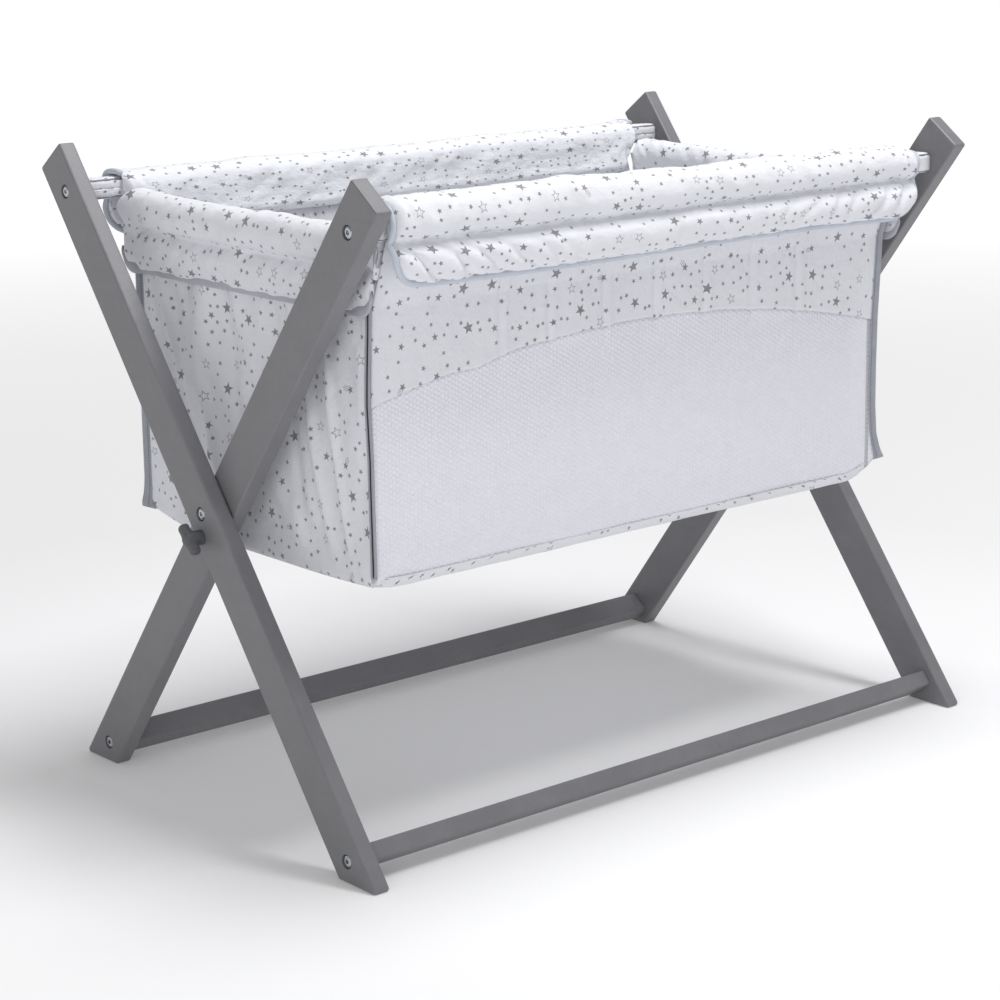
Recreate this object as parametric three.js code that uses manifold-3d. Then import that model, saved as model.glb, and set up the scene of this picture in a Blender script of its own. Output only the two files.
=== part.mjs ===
// Folding cot: a fabric cradle hung between two crossed timber frames.
// Millimetres, +Z up, origin on the floor under the middle of the cot.
// X runs along the cot, the front is -Y and the left end is -X.
import * as THREE from "three";
import { mergeVertices } from "three/addons/utils/BufferGeometryUtils.js";
import Module from "manifold-3d";

const wasm = await Module();
wasm.setup();

// Timber frames
const length = 940; // over the outside faces of the outer legs
const pivotHeight = 357;
const spreadDegrees = 37; // each leg's lean from upright
const legThickness = 20;
const legWidth = 53;
const legAbovePivot = 466;
const legGap = 1.8; // between an outer and an inner leg
const cornerRadius = 3.2;
const edgeEase = 2.2;
const railReach = 417; // pivot to top rail
const railSide = 22;
const footBoltHeight = 24;
const stretcherWidth = 30;
const stretcherThickness = 20;

// Fasteners
const touch = 0.3; // gap left between pieces that touch
const boltDiameter = 6;
const boltHole = 6.8;
const boltHeadDiameter = 14.5;
const boltHeadThickness = 3.5;
const counterbore = 16.5;
const counterboreDepth = 4.5;
const socketAcross = 5;
const socketDepth = 2.4;
const boltGrip = 15; // thread past the leg, inside the rail
const insertDiameter = 10;
const insertLength = 13;
const pivotDiameter = 8;
const pivotHole = 8.8;
const pivotNutDiameter = 14;
const pivotNutThickness = 6.5;
const spacerDiameter = 22;
const lockDrop = 26; // lock bolt below the pivot
const lockDiameter = 6;
const lockSlotWidth = 7.4;
const lockHeadDiameter = 15;
const lockHeadThickness = 3.5;
const foldDegrees = 66;
const slotMarginDegrees = 3;

// Wing knob
const hubDiameter = 11;
const hubPocket = 13.5;
const hubPocketDepth = 6;
const knobWasherDiameter = 12;
const knobWasherThickness = 1.2;
const hubLength = 19.5;
const wingThickness = 9;
const wingReach = 11.5; // hub axis to the middle of a lobe
const lobeRadius = 6.5;
const wingWaist = 4.6;
const wingTiltDegrees = 46;
const lockBoltInKnob = 12;

// Cradle
const legClearance = 31; // end panel to inner leg
const cradleWidth = 426;
const cradleDrop = 392; // rail axis down to the underside of the floor
const wallThickness = 2.5;
const floorThickness = 2.5;
const floorCorner = 4;
const sleeveThickness = 1.8;
const wallBendDrop = 90; // rail axis down to where a side wall turns upright
const meshSideHeight = 199; // mesh above the floor at its two ends
const meshRise = 48; // how much higher the mesh is in the middle
const seamRadius = 3.2;
const seamGap = 0.5; // between a seam and the panels it joins

// Padded covers
const coverToLeg = 26;
const coverOutside = 8;
const frontCoverTop = 14.5;
const backCoverTop = 5;
const coverInside = 10;
const outerFlapDrop = 59;
const outerFlapThickness = 12;
const innerFlapDrop = 46;
const innerFlapThickness = 8;
const coverSeamDrop = 12;
const endCoverDrop = 22; // rail axis down to the middle of an end roll
const endRollHalf = 17;
const endRollRise = 22;
const endOuterFlap = 71;
const endInnerFlap = 63;
const endFlapThickness = 10;
const endRollGap = 2; // end roll to rail sleeve

// Bedding
const boardThickness = 4;
const mattressThickness = 38;
const beddingEndRoom = 8;
const beddingSideRoom = 10;
const boardCorner = 22;
const mattressCorner = 30;
const mattressEdge = 7;

// Places worked out from the sizes above
const spread = THREE.MathUtils.degToRad(spreadDegrees);
const outerFace = length / 2;
const outerInside = outerFace - legThickness;
const innerOutside = outerInside - legGap;
const innerInside = innerOutside - legThickness;
const railY = railReach * Math.sin(spread);
const railZ = pivotHeight + railReach * Math.cos(spread);
const footReach = (pivotHeight - footBoltHeight) / Math.cos(spread);
const sleeveHalf = railSide / 2 + touch + sleeveThickness;
const channelHalf = sleeveHalf + touch;
const endX = innerInside - legClearance;
const wallY = cradleWidth / 2;
const floorZ = railZ - cradleDrop;
const wallFootZ = floorZ + floorThickness + touch;
const bendZ = railZ - wallBendDrop;
const wallTopZ = railZ - sleeveHalf - touch;
const coverHalf = innerInside - coverToLeg;
const endRollZ = railZ - endCoverDrop;

const paint = new THREE.MeshStandardMaterial({ color: 0x8a8a90, roughness: 0.45, metalness: 0 });
const zinc = new THREE.MeshStandardMaterial({ color: 0xc4c8cc, roughness: 0.3, metalness: 1 });
const brass = new THREE.MeshStandardMaterial({ color: 0xb59a5a, roughness: 0.4, metalness: 1 });
const nylon = new THREE.MeshStandardMaterial({ color: 0xe4e4e0, roughness: 0.5, metalness: 0 });
const knobPlastic = new THREE.MeshStandardMaterial({ color: 0x5d6166, roughness: 0.5, metalness: 0 });
const starFabric = new THREE.MeshStandardMaterial({ color: 0xeef0f4, roughness: 0.9, metalness: 0 });
const meshFabric = new THREE.MeshStandardMaterial({ color: 0xe6e9f2, roughness: 0.85, metalness: 0 });
const piping = new THREE.MeshStandardMaterial({ color: 0xaab0bc, roughness: 0.85, metalness: 0 });
const hardboard = new THREE.MeshStandardMaterial({ color: 0xa98560, roughness: 0.7, metalness: 0 });
const ticking = new THREE.MeshStandardMaterial({ color: 0xf2f2f0, roughness: 0.9, metalness: 0 });

const group = new THREE.Group();
const outerFrame = new THREE.Group();
const innerFrame = new THREE.Group();
const cradle = new THREE.Group();
group.add(outerFrame, innerFrame, cradle);

function add(parent, name, geometry, material) {
  const mesh = new THREE.Mesh(geometry, material);
  mesh.name = name;
  parent.add(mesh);
}

// Solids for cutting and joining
function toSolid(geometry) {
  const bare = geometry.index ? geometry.toNonIndexed() : geometry.clone();
  bare.deleteAttribute("normal");
  bare.deleteAttribute("uv");
  const merged = mergeVertices(bare, 1e-4);
  const mesh = new wasm.Mesh({
    numProp: 3,
    vertProperties: merged.attributes.position.array,
    triVerts: new Uint32Array(merged.index.array),
  });
  return new wasm.Manifold(mesh);
}

function toGeometry(solid) {
  const mesh = solid.getMesh();
  const geometry = new THREE.BufferGeometry();
  geometry.setAttribute("position", new THREE.BufferAttribute(mesh.vertProperties, 3));
  geometry.setIndex(new THREE.BufferAttribute(mesh.triVerts, 1));
  geometry.computeVertexNormals();
  return geometry;
}

function cut(body, ...tools) {
  return toGeometry(tools.reduce((left, tool) => left.subtract(toSolid(tool)), toSolid(body)));
}

function join(...pieces) {
  return toGeometry(pieces.map(toSolid).reduce((sum, piece) => sum.add(piece)));
}

// A shape drawn in (y, z), extruded along x between two planes
const yzToWorld = new THREE.Matrix4().makeBasis(
  new THREE.Vector3(0, 1, 0),
  new THREE.Vector3(0, 0, 1),
  new THREE.Vector3(1, 0, 0),
);
// A shape drawn in (x, z), extruded along -y
const xzToWorld = new THREE.Matrix4().makeBasis(
  new THREE.Vector3(1, 0, 0),
  new THREE.Vector3(0, 0, 1),
  new THREE.Vector3(0, -1, 0),
);

function extrudeX(shape, xLow, xHigh, ease = 0, curveSegments = 2) {
  const options = {
    depth: xHigh - xLow - 2 * ease,
    bevelEnabled: ease > 0,
    bevelSize: ease,
    bevelOffset: -ease,
    bevelThickness: ease,
    bevelSegments: 2,
    curveSegments,
  };
  const geometry = new THREE.ExtrudeGeometry(shape, options);
  return geometry.translate(0, 0, xLow + ease).applyMatrix4(yzToWorld);
}

function extrudeZ(shape, zLow, zHigh, ease = 0) {
  const options = {
    depth: zHigh - zLow - 2 * ease,
    bevelEnabled: ease > 0,
    bevelSize: ease,
    bevelOffset: -ease,
    bevelThickness: ease,
    bevelSegments: 2,
    curveSegments: 2,
  };
  return new THREE.ExtrudeGeometry(shape, options).translate(0, 0, zLow + ease);
}

// A closed outline with every corner rounded to an arc
function roundedShape(corners, radius) {
  const shape = new THREE.Shape();
  corners.forEach((corner, i) => {
    const back = corners[(i + corners.length - 1) % corners.length].clone().sub(corner).normalize();
    const on = corners[(i + 1) % corners.length].clone().sub(corner).normalize();
    const half = Math.acos(back.dot(on)) / 2;
    const reach = radius / Math.tan(half);
    const centre = corner.clone().add(back.clone().add(on).setLength(radius / Math.sin(half)));
    const from = corner.clone().addScaledVector(back, reach).sub(centre);
    const to = corner.clone().addScaledVector(on, reach).sub(centre);
    const clockwise = back.cross(on) > 0;
    shape.absarc(centre.x, centre.y, radius, from.angle(), to.angle(), clockwise);
  });
  return shape;
}

function rectangle(halfX, halfY, radius, centreX = 0, centreY = 0, turn = 0) {
  const centre = new THREE.Vector2(centreX, centreY);
  const signs = [[-1, -1], [1, -1], [1, 1], [-1, 1]];
  const corners = signs.map(([a, b]) =>
    new THREE.Vector2(a * halfX, b * halfY).rotateAround(new THREE.Vector2(), turn).add(centre),
  );
  return roundedShape(corners, radius);
}

// A turned piece with its axis along x: profile points are [radius, distance outwards]
function turned(profile, side, x, y, z, segments = 20) {
  const points = profile.map(([radius, out]) => new THREE.Vector2(radius, out));
  const geometry = new THREE.LatheGeometry(points, segments);
  return geometry.rotateZ((-side * Math.PI) / 2).translate(x, y, z);
}

function cylinderX(diameter, xA, xB, y, z, segments = 16) {
  const long = Math.abs(xB - xA);
  const geometry = new THREE.CylinderGeometry(diameter / 2, diameter / 2, long, segments);
  return geometry.rotateZ(Math.PI / 2).translate((xA + xB) / 2, y, z);
}

// A point on a leg: distance up the leg from the pivot, and distance across it.
// lean is +1 on the outer legs, whose tops are at the back, and -1 on the inner ones.
function onLeg(lean, distance, across) {
  const y = distance * Math.sin(spread) + across * Math.cos(spread);
  const z = pivotHeight + distance * Math.cos(spread) - across * Math.sin(spread);
  return new THREE.Vector2(lean * y, z);
}

function legOutline(lean) {
  const half = legWidth / 2;
  const toFloor = (across) => (across * Math.sin(spread) - pivotHeight) / Math.cos(spread);
  const corners = [
    onLeg(lean, legAbovePivot, -half),
    onLeg(lean, legAbovePivot, half),
    onLeg(lean, toFloor(half), half),
    onLeg(lean, toFloor(-half), -half),
  ];
  return roundedShape(corners, cornerRadius);
}

// The two holes that hold a leg's rail and stretcher bolts, each with its counterbore
function boltCuts(lean, side, outside, inside) {
  const cuts = [];
  for (const reach of [railReach, -footReach]) {
    const at = onLeg(lean, reach, 0);
    cuts.push(cylinderX(boltHole, side * (inside - 1), side * (outside + 1), at.x, at.y));
    cuts.push(
      cylinderX(counterbore, side * (outside - counterboreDepth), side * (outside + 1), at.x, at.y),
    );
  }
  return cuts;
}

function outerLeg(side) {
  const lock = pivotHeight - lockDrop;
  const low = Math.min(side * outerInside, side * outerFace);
  const body = extrudeX(legOutline(1), low, low + legThickness, edgeEase);
  return cut(
    body,
    ...boltCuts(1, side, outerFace, outerInside),
    cylinderX(pivotHole, side * (outerInside - 1), side * (outerFace + 1), 0, pivotHeight),
    cylinderX(counterbore, side * (outerFace - counterboreDepth), side * (outerFace + 1), 0, pivotHeight),
    cylinderX(lockSlotWidth, side * (outerInside - 1), side * (outerFace + 1), 0, lock),
    cylinderX(hubPocket, side * (outerFace - hubPocketDepth), side * (outerFace + 1), 0, lock),
  );
}

// The curved slot that lets an inner leg turn past the lock bolt
function lockSlot() {
  const start = -Math.PI / 2 - THREE.MathUtils.degToRad(slotMarginDegrees);
  const end = -Math.PI / 2 + THREE.MathUtils.degToRad(foldDegrees + slotMarginDegrees);
  const half = lockSlotWidth / 2;
  const endCentre = [lockDrop * Math.cos(end), pivotHeight + lockDrop * Math.sin(end)];
  const startCentre = [lockDrop * Math.cos(start), pivotHeight + lockDrop * Math.sin(start)];
  const shape = new THREE.Shape();
  shape.absarc(0, pivotHeight, lockDrop + half, start, end, false);
  shape.absarc(...endCentre, half, end, end + Math.PI, false);
  shape.absarc(0, pivotHeight, lockDrop - half, end, start, true);
  shape.absarc(...startCentre, half, start + Math.PI, start + 2 * Math.PI, false);
  return shape;
}

function innerLeg(side) {
  const low = Math.min(side * innerInside, side * innerOutside);
  const body = extrudeX(legOutline(-1), low, low + legThickness, edgeEase);
  return cut(
    body,
    ...boltCuts(-1, side, innerOutside, innerInside),
    cylinderX(pivotHole, side * (innerInside - 1), side * (innerOutside + 1), 0, pivotHeight),
    extrudeX(lockSlot(), low - 1, low + legThickness + 1, 0, 4),
  );
}

// A rail or stretcher between two legs, with a stepped hole in each end for insert and bolt
function crossBar(section, halfLength, y, z) {
  const body = extrudeX(section, -halfLength, halfLength, 0);
  const cuts = [];
  for (const side of [-1, 1]) {
    const insertEnd = halfLength - insertLength - touch;
    const boltEnd = halfLength - boltGrip - 2;
    cuts.push(cylinderX(insertDiameter + 2 * touch, side * insertEnd, side * (halfLength + 1), y, z));
    cuts.push(cylinderX(boltHole, side * boltEnd, side * (halfLength + 1), y, z));
  }
  return cut(body, ...cuts);
}

// A round-headed furniture bolt with a hexagon socket
function bolt(diameter, headDiameter, headThickness, underHead, side, headX, y, z) {
  const head = headDiameter / 2;
  const profile = [
    [0, -underHead],
    [diameter / 2, -underHead],
    [diameter / 2, 0],
    [head, 0],
    [head, headThickness * 0.45],
    [head * 0.86, headThickness * 0.85],
    [head * 0.62, headThickness],
    [0, headThickness],
  ];
  const body = turned(profile, side, headX, y, z);
  const deep = socketDepth + 1;
  const across = socketAcross / Math.sqrt(3);
  const socket = new THREE.CylinderGeometry(across, across, deep, 6).rotateZ(Math.PI / 2);
  const middle = headX + side * (headThickness - socketDepth + deep / 2);
  return cut(body, socket.translate(middle, y, z));
}

// A ring with its axis along x
function ring(inner, outer, xA, xB, y, z) {
  return cut(cylinderX(outer, xA, xB, y, z), cylinderX(inner, xA - 1, xB + 1, y, z));
}

function insert(side, halfLength, y, z) {
  const xA = side * halfLength;
  const xB = side * (halfLength - insertLength);
  return ring(boltDiameter + 2 * touch, insertDiameter, Math.min(xA, xB), Math.max(xA, xB), y, z);
}

// Legs, bars, bolts and inserts of one frame
function buildFrame(parent, lean, outside, inside, legMaker, names) {
  const top = onLeg(lean, railReach, 0);
  const foot = onLeg(lean, -footReach, 0);
  const half = inside - touch;
  const railSection = rectangle(railSide / 2, railSide / 2, 2, top.x, top.y);
  const turn = lean * (Math.PI / 2 - spread) + Math.PI / 2;
  const footSection = rectangle(stretcherWidth / 2, stretcherThickness / 2, 2, foot.x, foot.y, turn);
  add(parent, names.rail, crossBar(railSection, half, top.x, top.y), paint);
  add(parent, names.stretcher, crossBar(footSection, half, foot.x, foot.y), paint);
  for (const [side, end] of [[-1, "left"], [1, "right"]]) {
    add(parent, `${names.leg}_${end}`, legMaker(side), paint);
    for (const [at, bar] of [[top, names.rail], [foot, names.stretcher]]) {
      const headX = side * (outside - counterboreDepth + touch);
      const shank = outside - counterboreDepth + touch - (half - boltGrip);
      const screw = bolt(
        boltDiameter, boltHeadDiameter, boltHeadThickness, shank, side, headX, at.x, at.y,
      );
      add(parent, `${bar}_bolt_${end}`, screw, zinc);
      add(parent, `${bar}_insert_${end}`, insert(side, half, at.x, at.y), brass);
    }
  }
}

// Pivot bolt, spacer and nut at one end
function buildPivot(side, end) {
  const headX = side * (outerFace - counterboreDepth + touch);
  const nutOut = innerInside - touch;
  const shank = outerFace - counterboreDepth + touch - (nutOut - pivotNutThickness + 1.5);
  const screw = bolt(
    pivotDiameter, boltHeadDiameter, boltHeadThickness, shank, side, headX, 0, pivotHeight,
  );
  add(outerFrame, `pivot_bolt_${end}`, screw, zinc);
  const spacerIn = innerOutside + touch;
  const spacerOut = outerInside - touch;
  const spacer = ring(
    pivotHole,
    spacerDiameter,
    Math.min(side * spacerIn, side * spacerOut),
    Math.max(side * spacerIn, side * spacerOut),
    0,
    pivotHeight,
  );
  add(outerFrame, `pivot_spacer_${end}`, spacer, nylon);
  const nutRadius = pivotNutDiameter / 2;
  const nutProfile = [
    [0, -pivotNutThickness],
    [nutRadius * 0.8, -pivotNutThickness],
    [nutRadius, -pivotNutThickness + 1.5],
    [nutRadius, 0],
    [0, 0],
  ];
  const blank = turned(nutProfile, side, side * nutOut, 0, pivotHeight, 6);
  const boreEnd = side * (nutOut - pivotNutThickness - 1);
  const bore = cylinderX(pivotDiameter + 2 * touch, side * (nutOut + 1), boreEnd, 0, pivotHeight);
  const nut = cut(blank, bore);
  add(outerFrame, `pivot_nut_${end}`, nut, zinc);
}

// The two-winged outline of the knob
function wingShape(z) {
  const tilt = THREE.MathUtils.degToRad(wingTiltDegrees);
  const spot = (along, across) => [
    along * Math.cos(tilt) - across * Math.sin(tilt),
    z + along * Math.sin(tilt) + across * Math.cos(tilt),
  ];
  const shape = new THREE.Shape();
  shape.moveTo(...spot(0, -wingWaist));
  shape.quadraticCurveTo(...spot(wingReach / 2, -wingWaist), ...spot(wingReach, -lobeRadius));
  shape.absarc(...spot(wingReach, 0), lobeRadius, tilt - Math.PI / 2, tilt + Math.PI / 2, false);
  shape.quadraticCurveTo(...spot(wingReach / 2, wingWaist), ...spot(0, wingWaist));
  shape.quadraticCurveTo(...spot(-wingReach / 2, wingWaist), ...spot(-wingReach, lobeRadius));
  shape.absarc(...spot(-wingReach, 0), lobeRadius, tilt + Math.PI / 2, tilt + 1.5 * Math.PI, false);
  shape.quadraticCurveTo(...spot(-wingReach / 2, -wingWaist), ...spot(0, -wingWaist));
  return shape;
}

// Lock bolt, knob washer and wing knob at one end
function buildLock(side, end) {
  const z = pivotHeight - lockDrop;
  const headIn = innerInside - touch;
  const tip = outerFace + lockBoltInKnob;
  const shank = cylinderX(lockDiameter, side * (headIn - 1), side * tip, 0, z);
  const headRadius = lockHeadDiameter / 2;
  const headProfile = [
    [0, -lockHeadThickness],
    [headRadius * 0.5, -lockHeadThickness * 0.92],
    [headRadius * 0.85, -lockHeadThickness * 0.6],
    [headRadius, 0],
    [0, 0],
  ];
  const head = turned(headProfile, side, side * headIn, 0, z);
  add(outerFrame, `lock_bolt_${end}`, join(shank, head), zinc);
  const washerIn = outerFace - hubPocketDepth + touch;
  const washerOut = washerIn + knobWasherThickness;
  const washer = ring(
    lockDiameter + 2 * touch,
    knobWasherDiameter,
    Math.min(side * washerIn, side * washerOut),
    Math.max(side * washerIn, side * washerOut),
    0,
    z,
  );
  add(outerFrame, `knob_washer_${end}`, washer, zinc);
  const hubIn = washerOut + touch;
  const wingIn = hubIn + hubLength;
  const wingOut = wingIn + wingThickness;
  const hub = cylinderX(hubDiameter, side * hubIn, side * (wingIn + 1), 0, z);
  const low = Math.min(side * wingIn, side * wingOut);
  const wings = extrudeX(wingShape(z), low, low + wingThickness, 2, 4);
  const thread = cylinderX(
    lockDiameter + 2 * touch, side * (hubIn - 1), side * (tip + touch), 0, z,
  );
  add(outerFrame, `knob_${end}`, cut(join(hub, wings), thread), knobPlastic);
}

// A cloth panel: a grid of points on its outside, and the same grid moved inwards.
// pointAt(u, row) gives a point for u from -1 to 1 on each of the rows.
function clothPanel(pointAt, columns, rows, inwards) {
  const positions = [];
  for (const shift of [0, 1]) {
    for (let row = 0; row < rows; row++) {
      for (let column = 0; column <= columns; column++) {
        const point = pointAt((2 * column) / columns - 1, row);
        point.addScaledVector(inwards, shift * wallThickness);
        positions.push(point.x, point.y, point.z);
      }
    }
  }
  const across = columns + 1;
  const inner = rows * across;
  const faces = [];
  const quad = (a, b, c, d) => faces.push(a, b, c, a, c, d);
  for (let row = 0; row + 1 < rows; row++) {
    for (let column = 0; column < columns; column++) {
      const a = row * across + column;
      quad(a, a + 1, a + 1 + across, a + across);
      quad(inner + a, inner + a + across, inner + a + 1 + across, inner + a + 1);
    }
    const left = row * across;
    const right = left + columns;
    quad(left, left + across, inner + left + across, inner + left);
    quad(right, inner + right, inner + right + across, right + across);
  }
  for (let column = 0; column < columns; column++) {
    const top = (rows - 1) * across + column;
    quad(column, inner + column, inner + column + 1, column + 1);
    quad(top, top + 1, inner + top + 1, inner + top);
  }
  const geometry = new THREE.BufferGeometry();
  geometry.setAttribute("position", new THREE.Float32BufferAttribute(positions, 3));
  geometry.setIndex(faces);
  if (toSolid(geometry).volume() < 0) geometry.setIndex(faces.reverse());
  geometry.computeVertexNormals();
  return geometry;
}

// How far a side wall's outside face is from the middle of the cot at a height
function wallReach(z) {
  const top = railY - sleeveHalf;
  const rise = Math.max(0, (z - bendZ) / (wallTopZ - bendZ));
  return wallY + (top - wallY) * rise;
}

// Half the room between the inner flaps of the two rail covers
function betweenFlaps() {
  return wallReach(railZ - innerFlapDrop) - wallThickness - innerFlapThickness - 3 * touch;
}

// Height of the curved seam between the mesh and the woven upper part
function meshHeight(u) {
  return floorZ + meshSideHeight + meshRise * (1 - u * u);
}

function buildSideWall(side, name) {
  const half = endX - 2 * seamRadius - seamGap;
  const inwards = new THREE.Vector3(0, -side, 0);
  const place = (u, z) => new THREE.Vector3(u * half, side * wallReach(z), z);
  const meshRows = [() => wallFootZ, (u) => meshHeight(u) - touch];
  const wovenRows = [meshHeight, () => bendZ, () => wallTopZ];
  const meshPanel = clothPanel((u, row) => place(u, meshRows[row](u)), 24, 2, inwards);
  const woven = clothPanel((u, row) => place(u, wovenRows[row](u)), 24, 3, inwards);
  add(cradle, `${name}_mesh_panel`, meshPanel, meshFabric);
  add(cradle, `${name}_upper_panel`, woven, starFabric);
}

function buildEndPanel(side, end) {
  const top = endRollZ + touch;
  const heights = [wallFootZ, bendZ, top];
  const inwards = new THREE.Vector3(-side, 0, 0);
  const edge = (z) => Math.min(wallReach(z) - 2 * seamRadius - seamGap, betweenFlaps());
  const panel = clothPanel(
    (u, row) => new THREE.Vector3(side * endX, u * edge(heights[row]), heights[row]),
    2,
    3,
    inwards,
  );
  add(cradle, `end_panel_${end}`, panel, starFabric);
}

// A bound seam down one corner of the cradle
function buildSeam(sideX, sideY, name) {
  const x = sideX * (endX - seamRadius);
  const at = (z) => new THREE.Vector3(x, sideY * (wallReach(z) - seamRadius), z);
  const path = new THREE.CurvePath();
  path.add(new THREE.LineCurve3(at(wallFootZ), at(bendZ)));
  path.add(new THREE.LineCurve3(at(bendZ), at(railZ - innerFlapDrop - seamRadius)));
  const section = new THREE.Shape().absarc(0, 0, seamRadius, 0, 2 * Math.PI, false);
  const options = { steps: 8, extrudePath: path, curveSegments: 4 };
  add(cradle, name, new THREE.ExtrudeGeometry(section, options), piping);
}

// A padded cover saddled over a rail: a crown round the sleeve and a flap down each side.
// The section is drawn with u outwards and w up from the rail's axis.
function railCoverSection(side, top) {
  const shape = new THREE.Shape();
  const spot = (u, w) => [side * (railY + u), railZ + w];
  const flap = channelHalf + outerFlapThickness;
  const crown = channelHalf + top;
  const seamOut = channelHalf + coverOutside * 0.6;
  const seamIn = -(channelHalf + coverInside);
  const inset = (w) => wallReach(railZ + w) - wallThickness - touch - railY;
  const wallIn = (w) => Math.min(inset(w), -channelHalf);
  const flapTopW = -channelHalf - touch;
  const hem = outerFlapThickness / 2;
  shape.moveTo(...spot(channelHalf, channelHalf));
  shape.lineTo(...spot(channelHalf, -outerFlapDrop + hem));
  shape.quadraticCurveTo(...spot(channelHalf + 1, -outerFlapDrop), ...spot(channelHalf + hem, -outerFlapDrop));
  shape.bezierCurveTo(
    ...spot(flap + 2, -outerFlapDrop + 2),
    ...spot(flap + 3, -coverSeamDrop - hem),
    ...spot(seamOut, -coverSeamDrop),
  );
  shape.bezierCurveTo(
    ...spot(channelHalf + coverOutside + 4, 2),
    ...spot(channelHalf + coverOutside, crown),
    ...spot(0, crown),
  );
  shape.bezierCurveTo(
    ...spot(-channelHalf - coverInside, crown),
    ...spot(seamIn - 5, 4),
    ...spot(seamIn, -coverSeamDrop),
  );
  shape.lineTo(...spot(wallIn(-innerFlapDrop) - innerFlapThickness, -innerFlapDrop + 4));
  shape.lineTo(...spot(wallIn(-innerFlapDrop) - innerFlapThickness / 2, -innerFlapDrop));
  shape.lineTo(...spot(wallIn(-innerFlapDrop) - 1, -innerFlapDrop));
  shape.lineTo(...spot(wallIn(flapTopW), flapTopW));
  shape.lineTo(...spot(-channelHalf, channelHalf));
  return shape;
}

// A padded cover over an end panel, in (x, z), with the panel's top edge inside it
function endCoverSection(side) {
  const shape = new THREE.Shape();
  const middle = endX - wallThickness / 2;
  const spot = (out, w) => [side * (middle + out), endRollZ + w];
  const slot = wallThickness / 2 + touch;
  const flapOut = slot + endFlapThickness;
  const seamW = -endRollRise;
  shape.moveTo(...spot(slot, 2 * touch));
  shape.lineTo(...spot(slot, -endOuterFlap + 3));
  shape.quadraticCurveTo(...spot(slot + 1, -endOuterFlap), ...spot(slot + 5, -endOuterFlap));
  shape.bezierCurveTo(
    ...spot(flapOut + 3, -endOuterFlap + 4),
    ...spot(flapOut + 5, seamW - 10),
    ...spot(endRollHalf - 5, seamW),
  );
  shape.bezierCurveTo(
    ...spot(endRollHalf + 6, seamW + 8),
    ...spot(endRollHalf, endRollRise),
    ...spot(0, endRollRise),
  );
  shape.bezierCurveTo(
    ...spot(-endRollHalf, endRollRise),
    ...spot(-endRollHalf - 6, seamW + 8),
    ...spot(-endRollHalf + 5, seamW),
  );
  shape.bezierCurveTo(
    ...spot(-flapOut - 3, seamW - 10),
    ...spot(-flapOut - 1, -endInnerFlap + 4),
    ...spot(-slot - 5, -endInnerFlap),
  );
  shape.quadraticCurveTo(...spot(-slot - 1, -endInnerFlap), ...spot(-slot, -endInnerFlap + 3));
  shape.lineTo(...spot(-slot, 2 * touch));
  return shape;
}

function buildEndCover(side, end) {
  const farY = railY - sleeveHalf - endRollGap;
  const nearY = Math.min(betweenFlaps(), wallY - 2 * seamRadius - touch);
  const section = endCoverSection(side);
  const options = { depth: 2 * farY, bevelEnabled: false, curveSegments: 6 };
  const whole = new THREE.ExtrudeGeometry(section, options).translate(0, 0, -farY);
  const body = whole.applyMatrix4(xzToWorld);
  const notches = [-1, 1].map((sideY) => {
    const depth = farY - nearY + 2;
    const long = coverHalf + 2 * touch;
    const notch = new THREE.BoxGeometry(long, depth, 4 * endOuterFlap);
    return notch.translate((side * long) / 2, sideY * (nearY + depth / 2), endRollZ);
  });
  add(cradle, `end_cover_${end}`, cut(body, ...notches), starFabric);
}

function buildRailCover(side, name, top, sleeveParent, legInside) {
  const outline = rectangle(sleeveHalf, sleeveHalf, 2.5, side * railY, railZ);
  const hole = railSide / 2 + touch;
  const core = rectangle(hole, hole, 2, side * railY, railZ);
  const half = legInside - touch;
  const sleeve = cut(extrudeX(outline, -half, half), extrudeX(core, -half - 1, half + 1));
  add(sleeveParent, `${name}_rail_sleeve`, sleeve, starFabric);
  const cover = extrudeX(railCoverSection(side, top), -coverHalf, coverHalf, 0, 5);
  add(cradle, `${name}_cover`, cover, starFabric);
}

function buildFloor() {
  const plan = rectangle(endX, wallY, floorCorner);
  add(cradle, "floor_panel", extrudeZ(plan, floorZ, floorZ + floorThickness), starFabric);
}

function buildBedding() {
  const endCoverInside = endX - wallThickness / 2 - endRollHalf;
  const halfX = endCoverInside - beddingEndRoom;
  const halfY = wallY - wallThickness - beddingSideRoom;
  const boardLow = floorZ + floorThickness + touch;
  const boardTop = boardLow + boardThickness;
  const board = extrudeZ(rectangle(halfX, halfY, boardCorner), boardLow, boardTop);
  add(cradle, "base_board", board, hardboard);
  const low = boardTop + touch;
  const shape = rectangle(halfX, halfY, mattressCorner);
  const mattress = extrudeZ(shape, low, low + mattressThickness, mattressEdge);
  add(cradle, "mattress", mattress, ticking);
}

const outerNames = { rail: "back_rail", stretcher: "front_stretcher", leg: "outer_leg" };
const innerNames = { rail: "front_rail", stretcher: "back_stretcher", leg: "inner_leg" };
buildFrame(outerFrame, 1, outerFace, outerInside, outerLeg, outerNames);
buildFrame(innerFrame, -1, innerOutside, innerInside, innerLeg, innerNames);
for (const [side, end] of [[-1, "left"], [1, "right"]]) {
  buildPivot(side, end);
  buildLock(side, end);
  buildEndPanel(side, end);
  buildEndCover(side, end);
  buildSeam(side, -1, `front_seam_${end}`);
  buildSeam(side, 1, `back_seam_${end}`);
}
buildRailCover(-1, "front", frontCoverTop, innerFrame, innerInside);
buildRailCover(1, "back", backCoverTop, outerFrame, outerInside);
buildSideWall(-1, "front");
buildSideWall(1, "back");
buildFloor();
buildBedding();

export default group;
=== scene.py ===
import math

import bpy
import numpy as np
from mathutils import Matrix, Vector, noise

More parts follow.
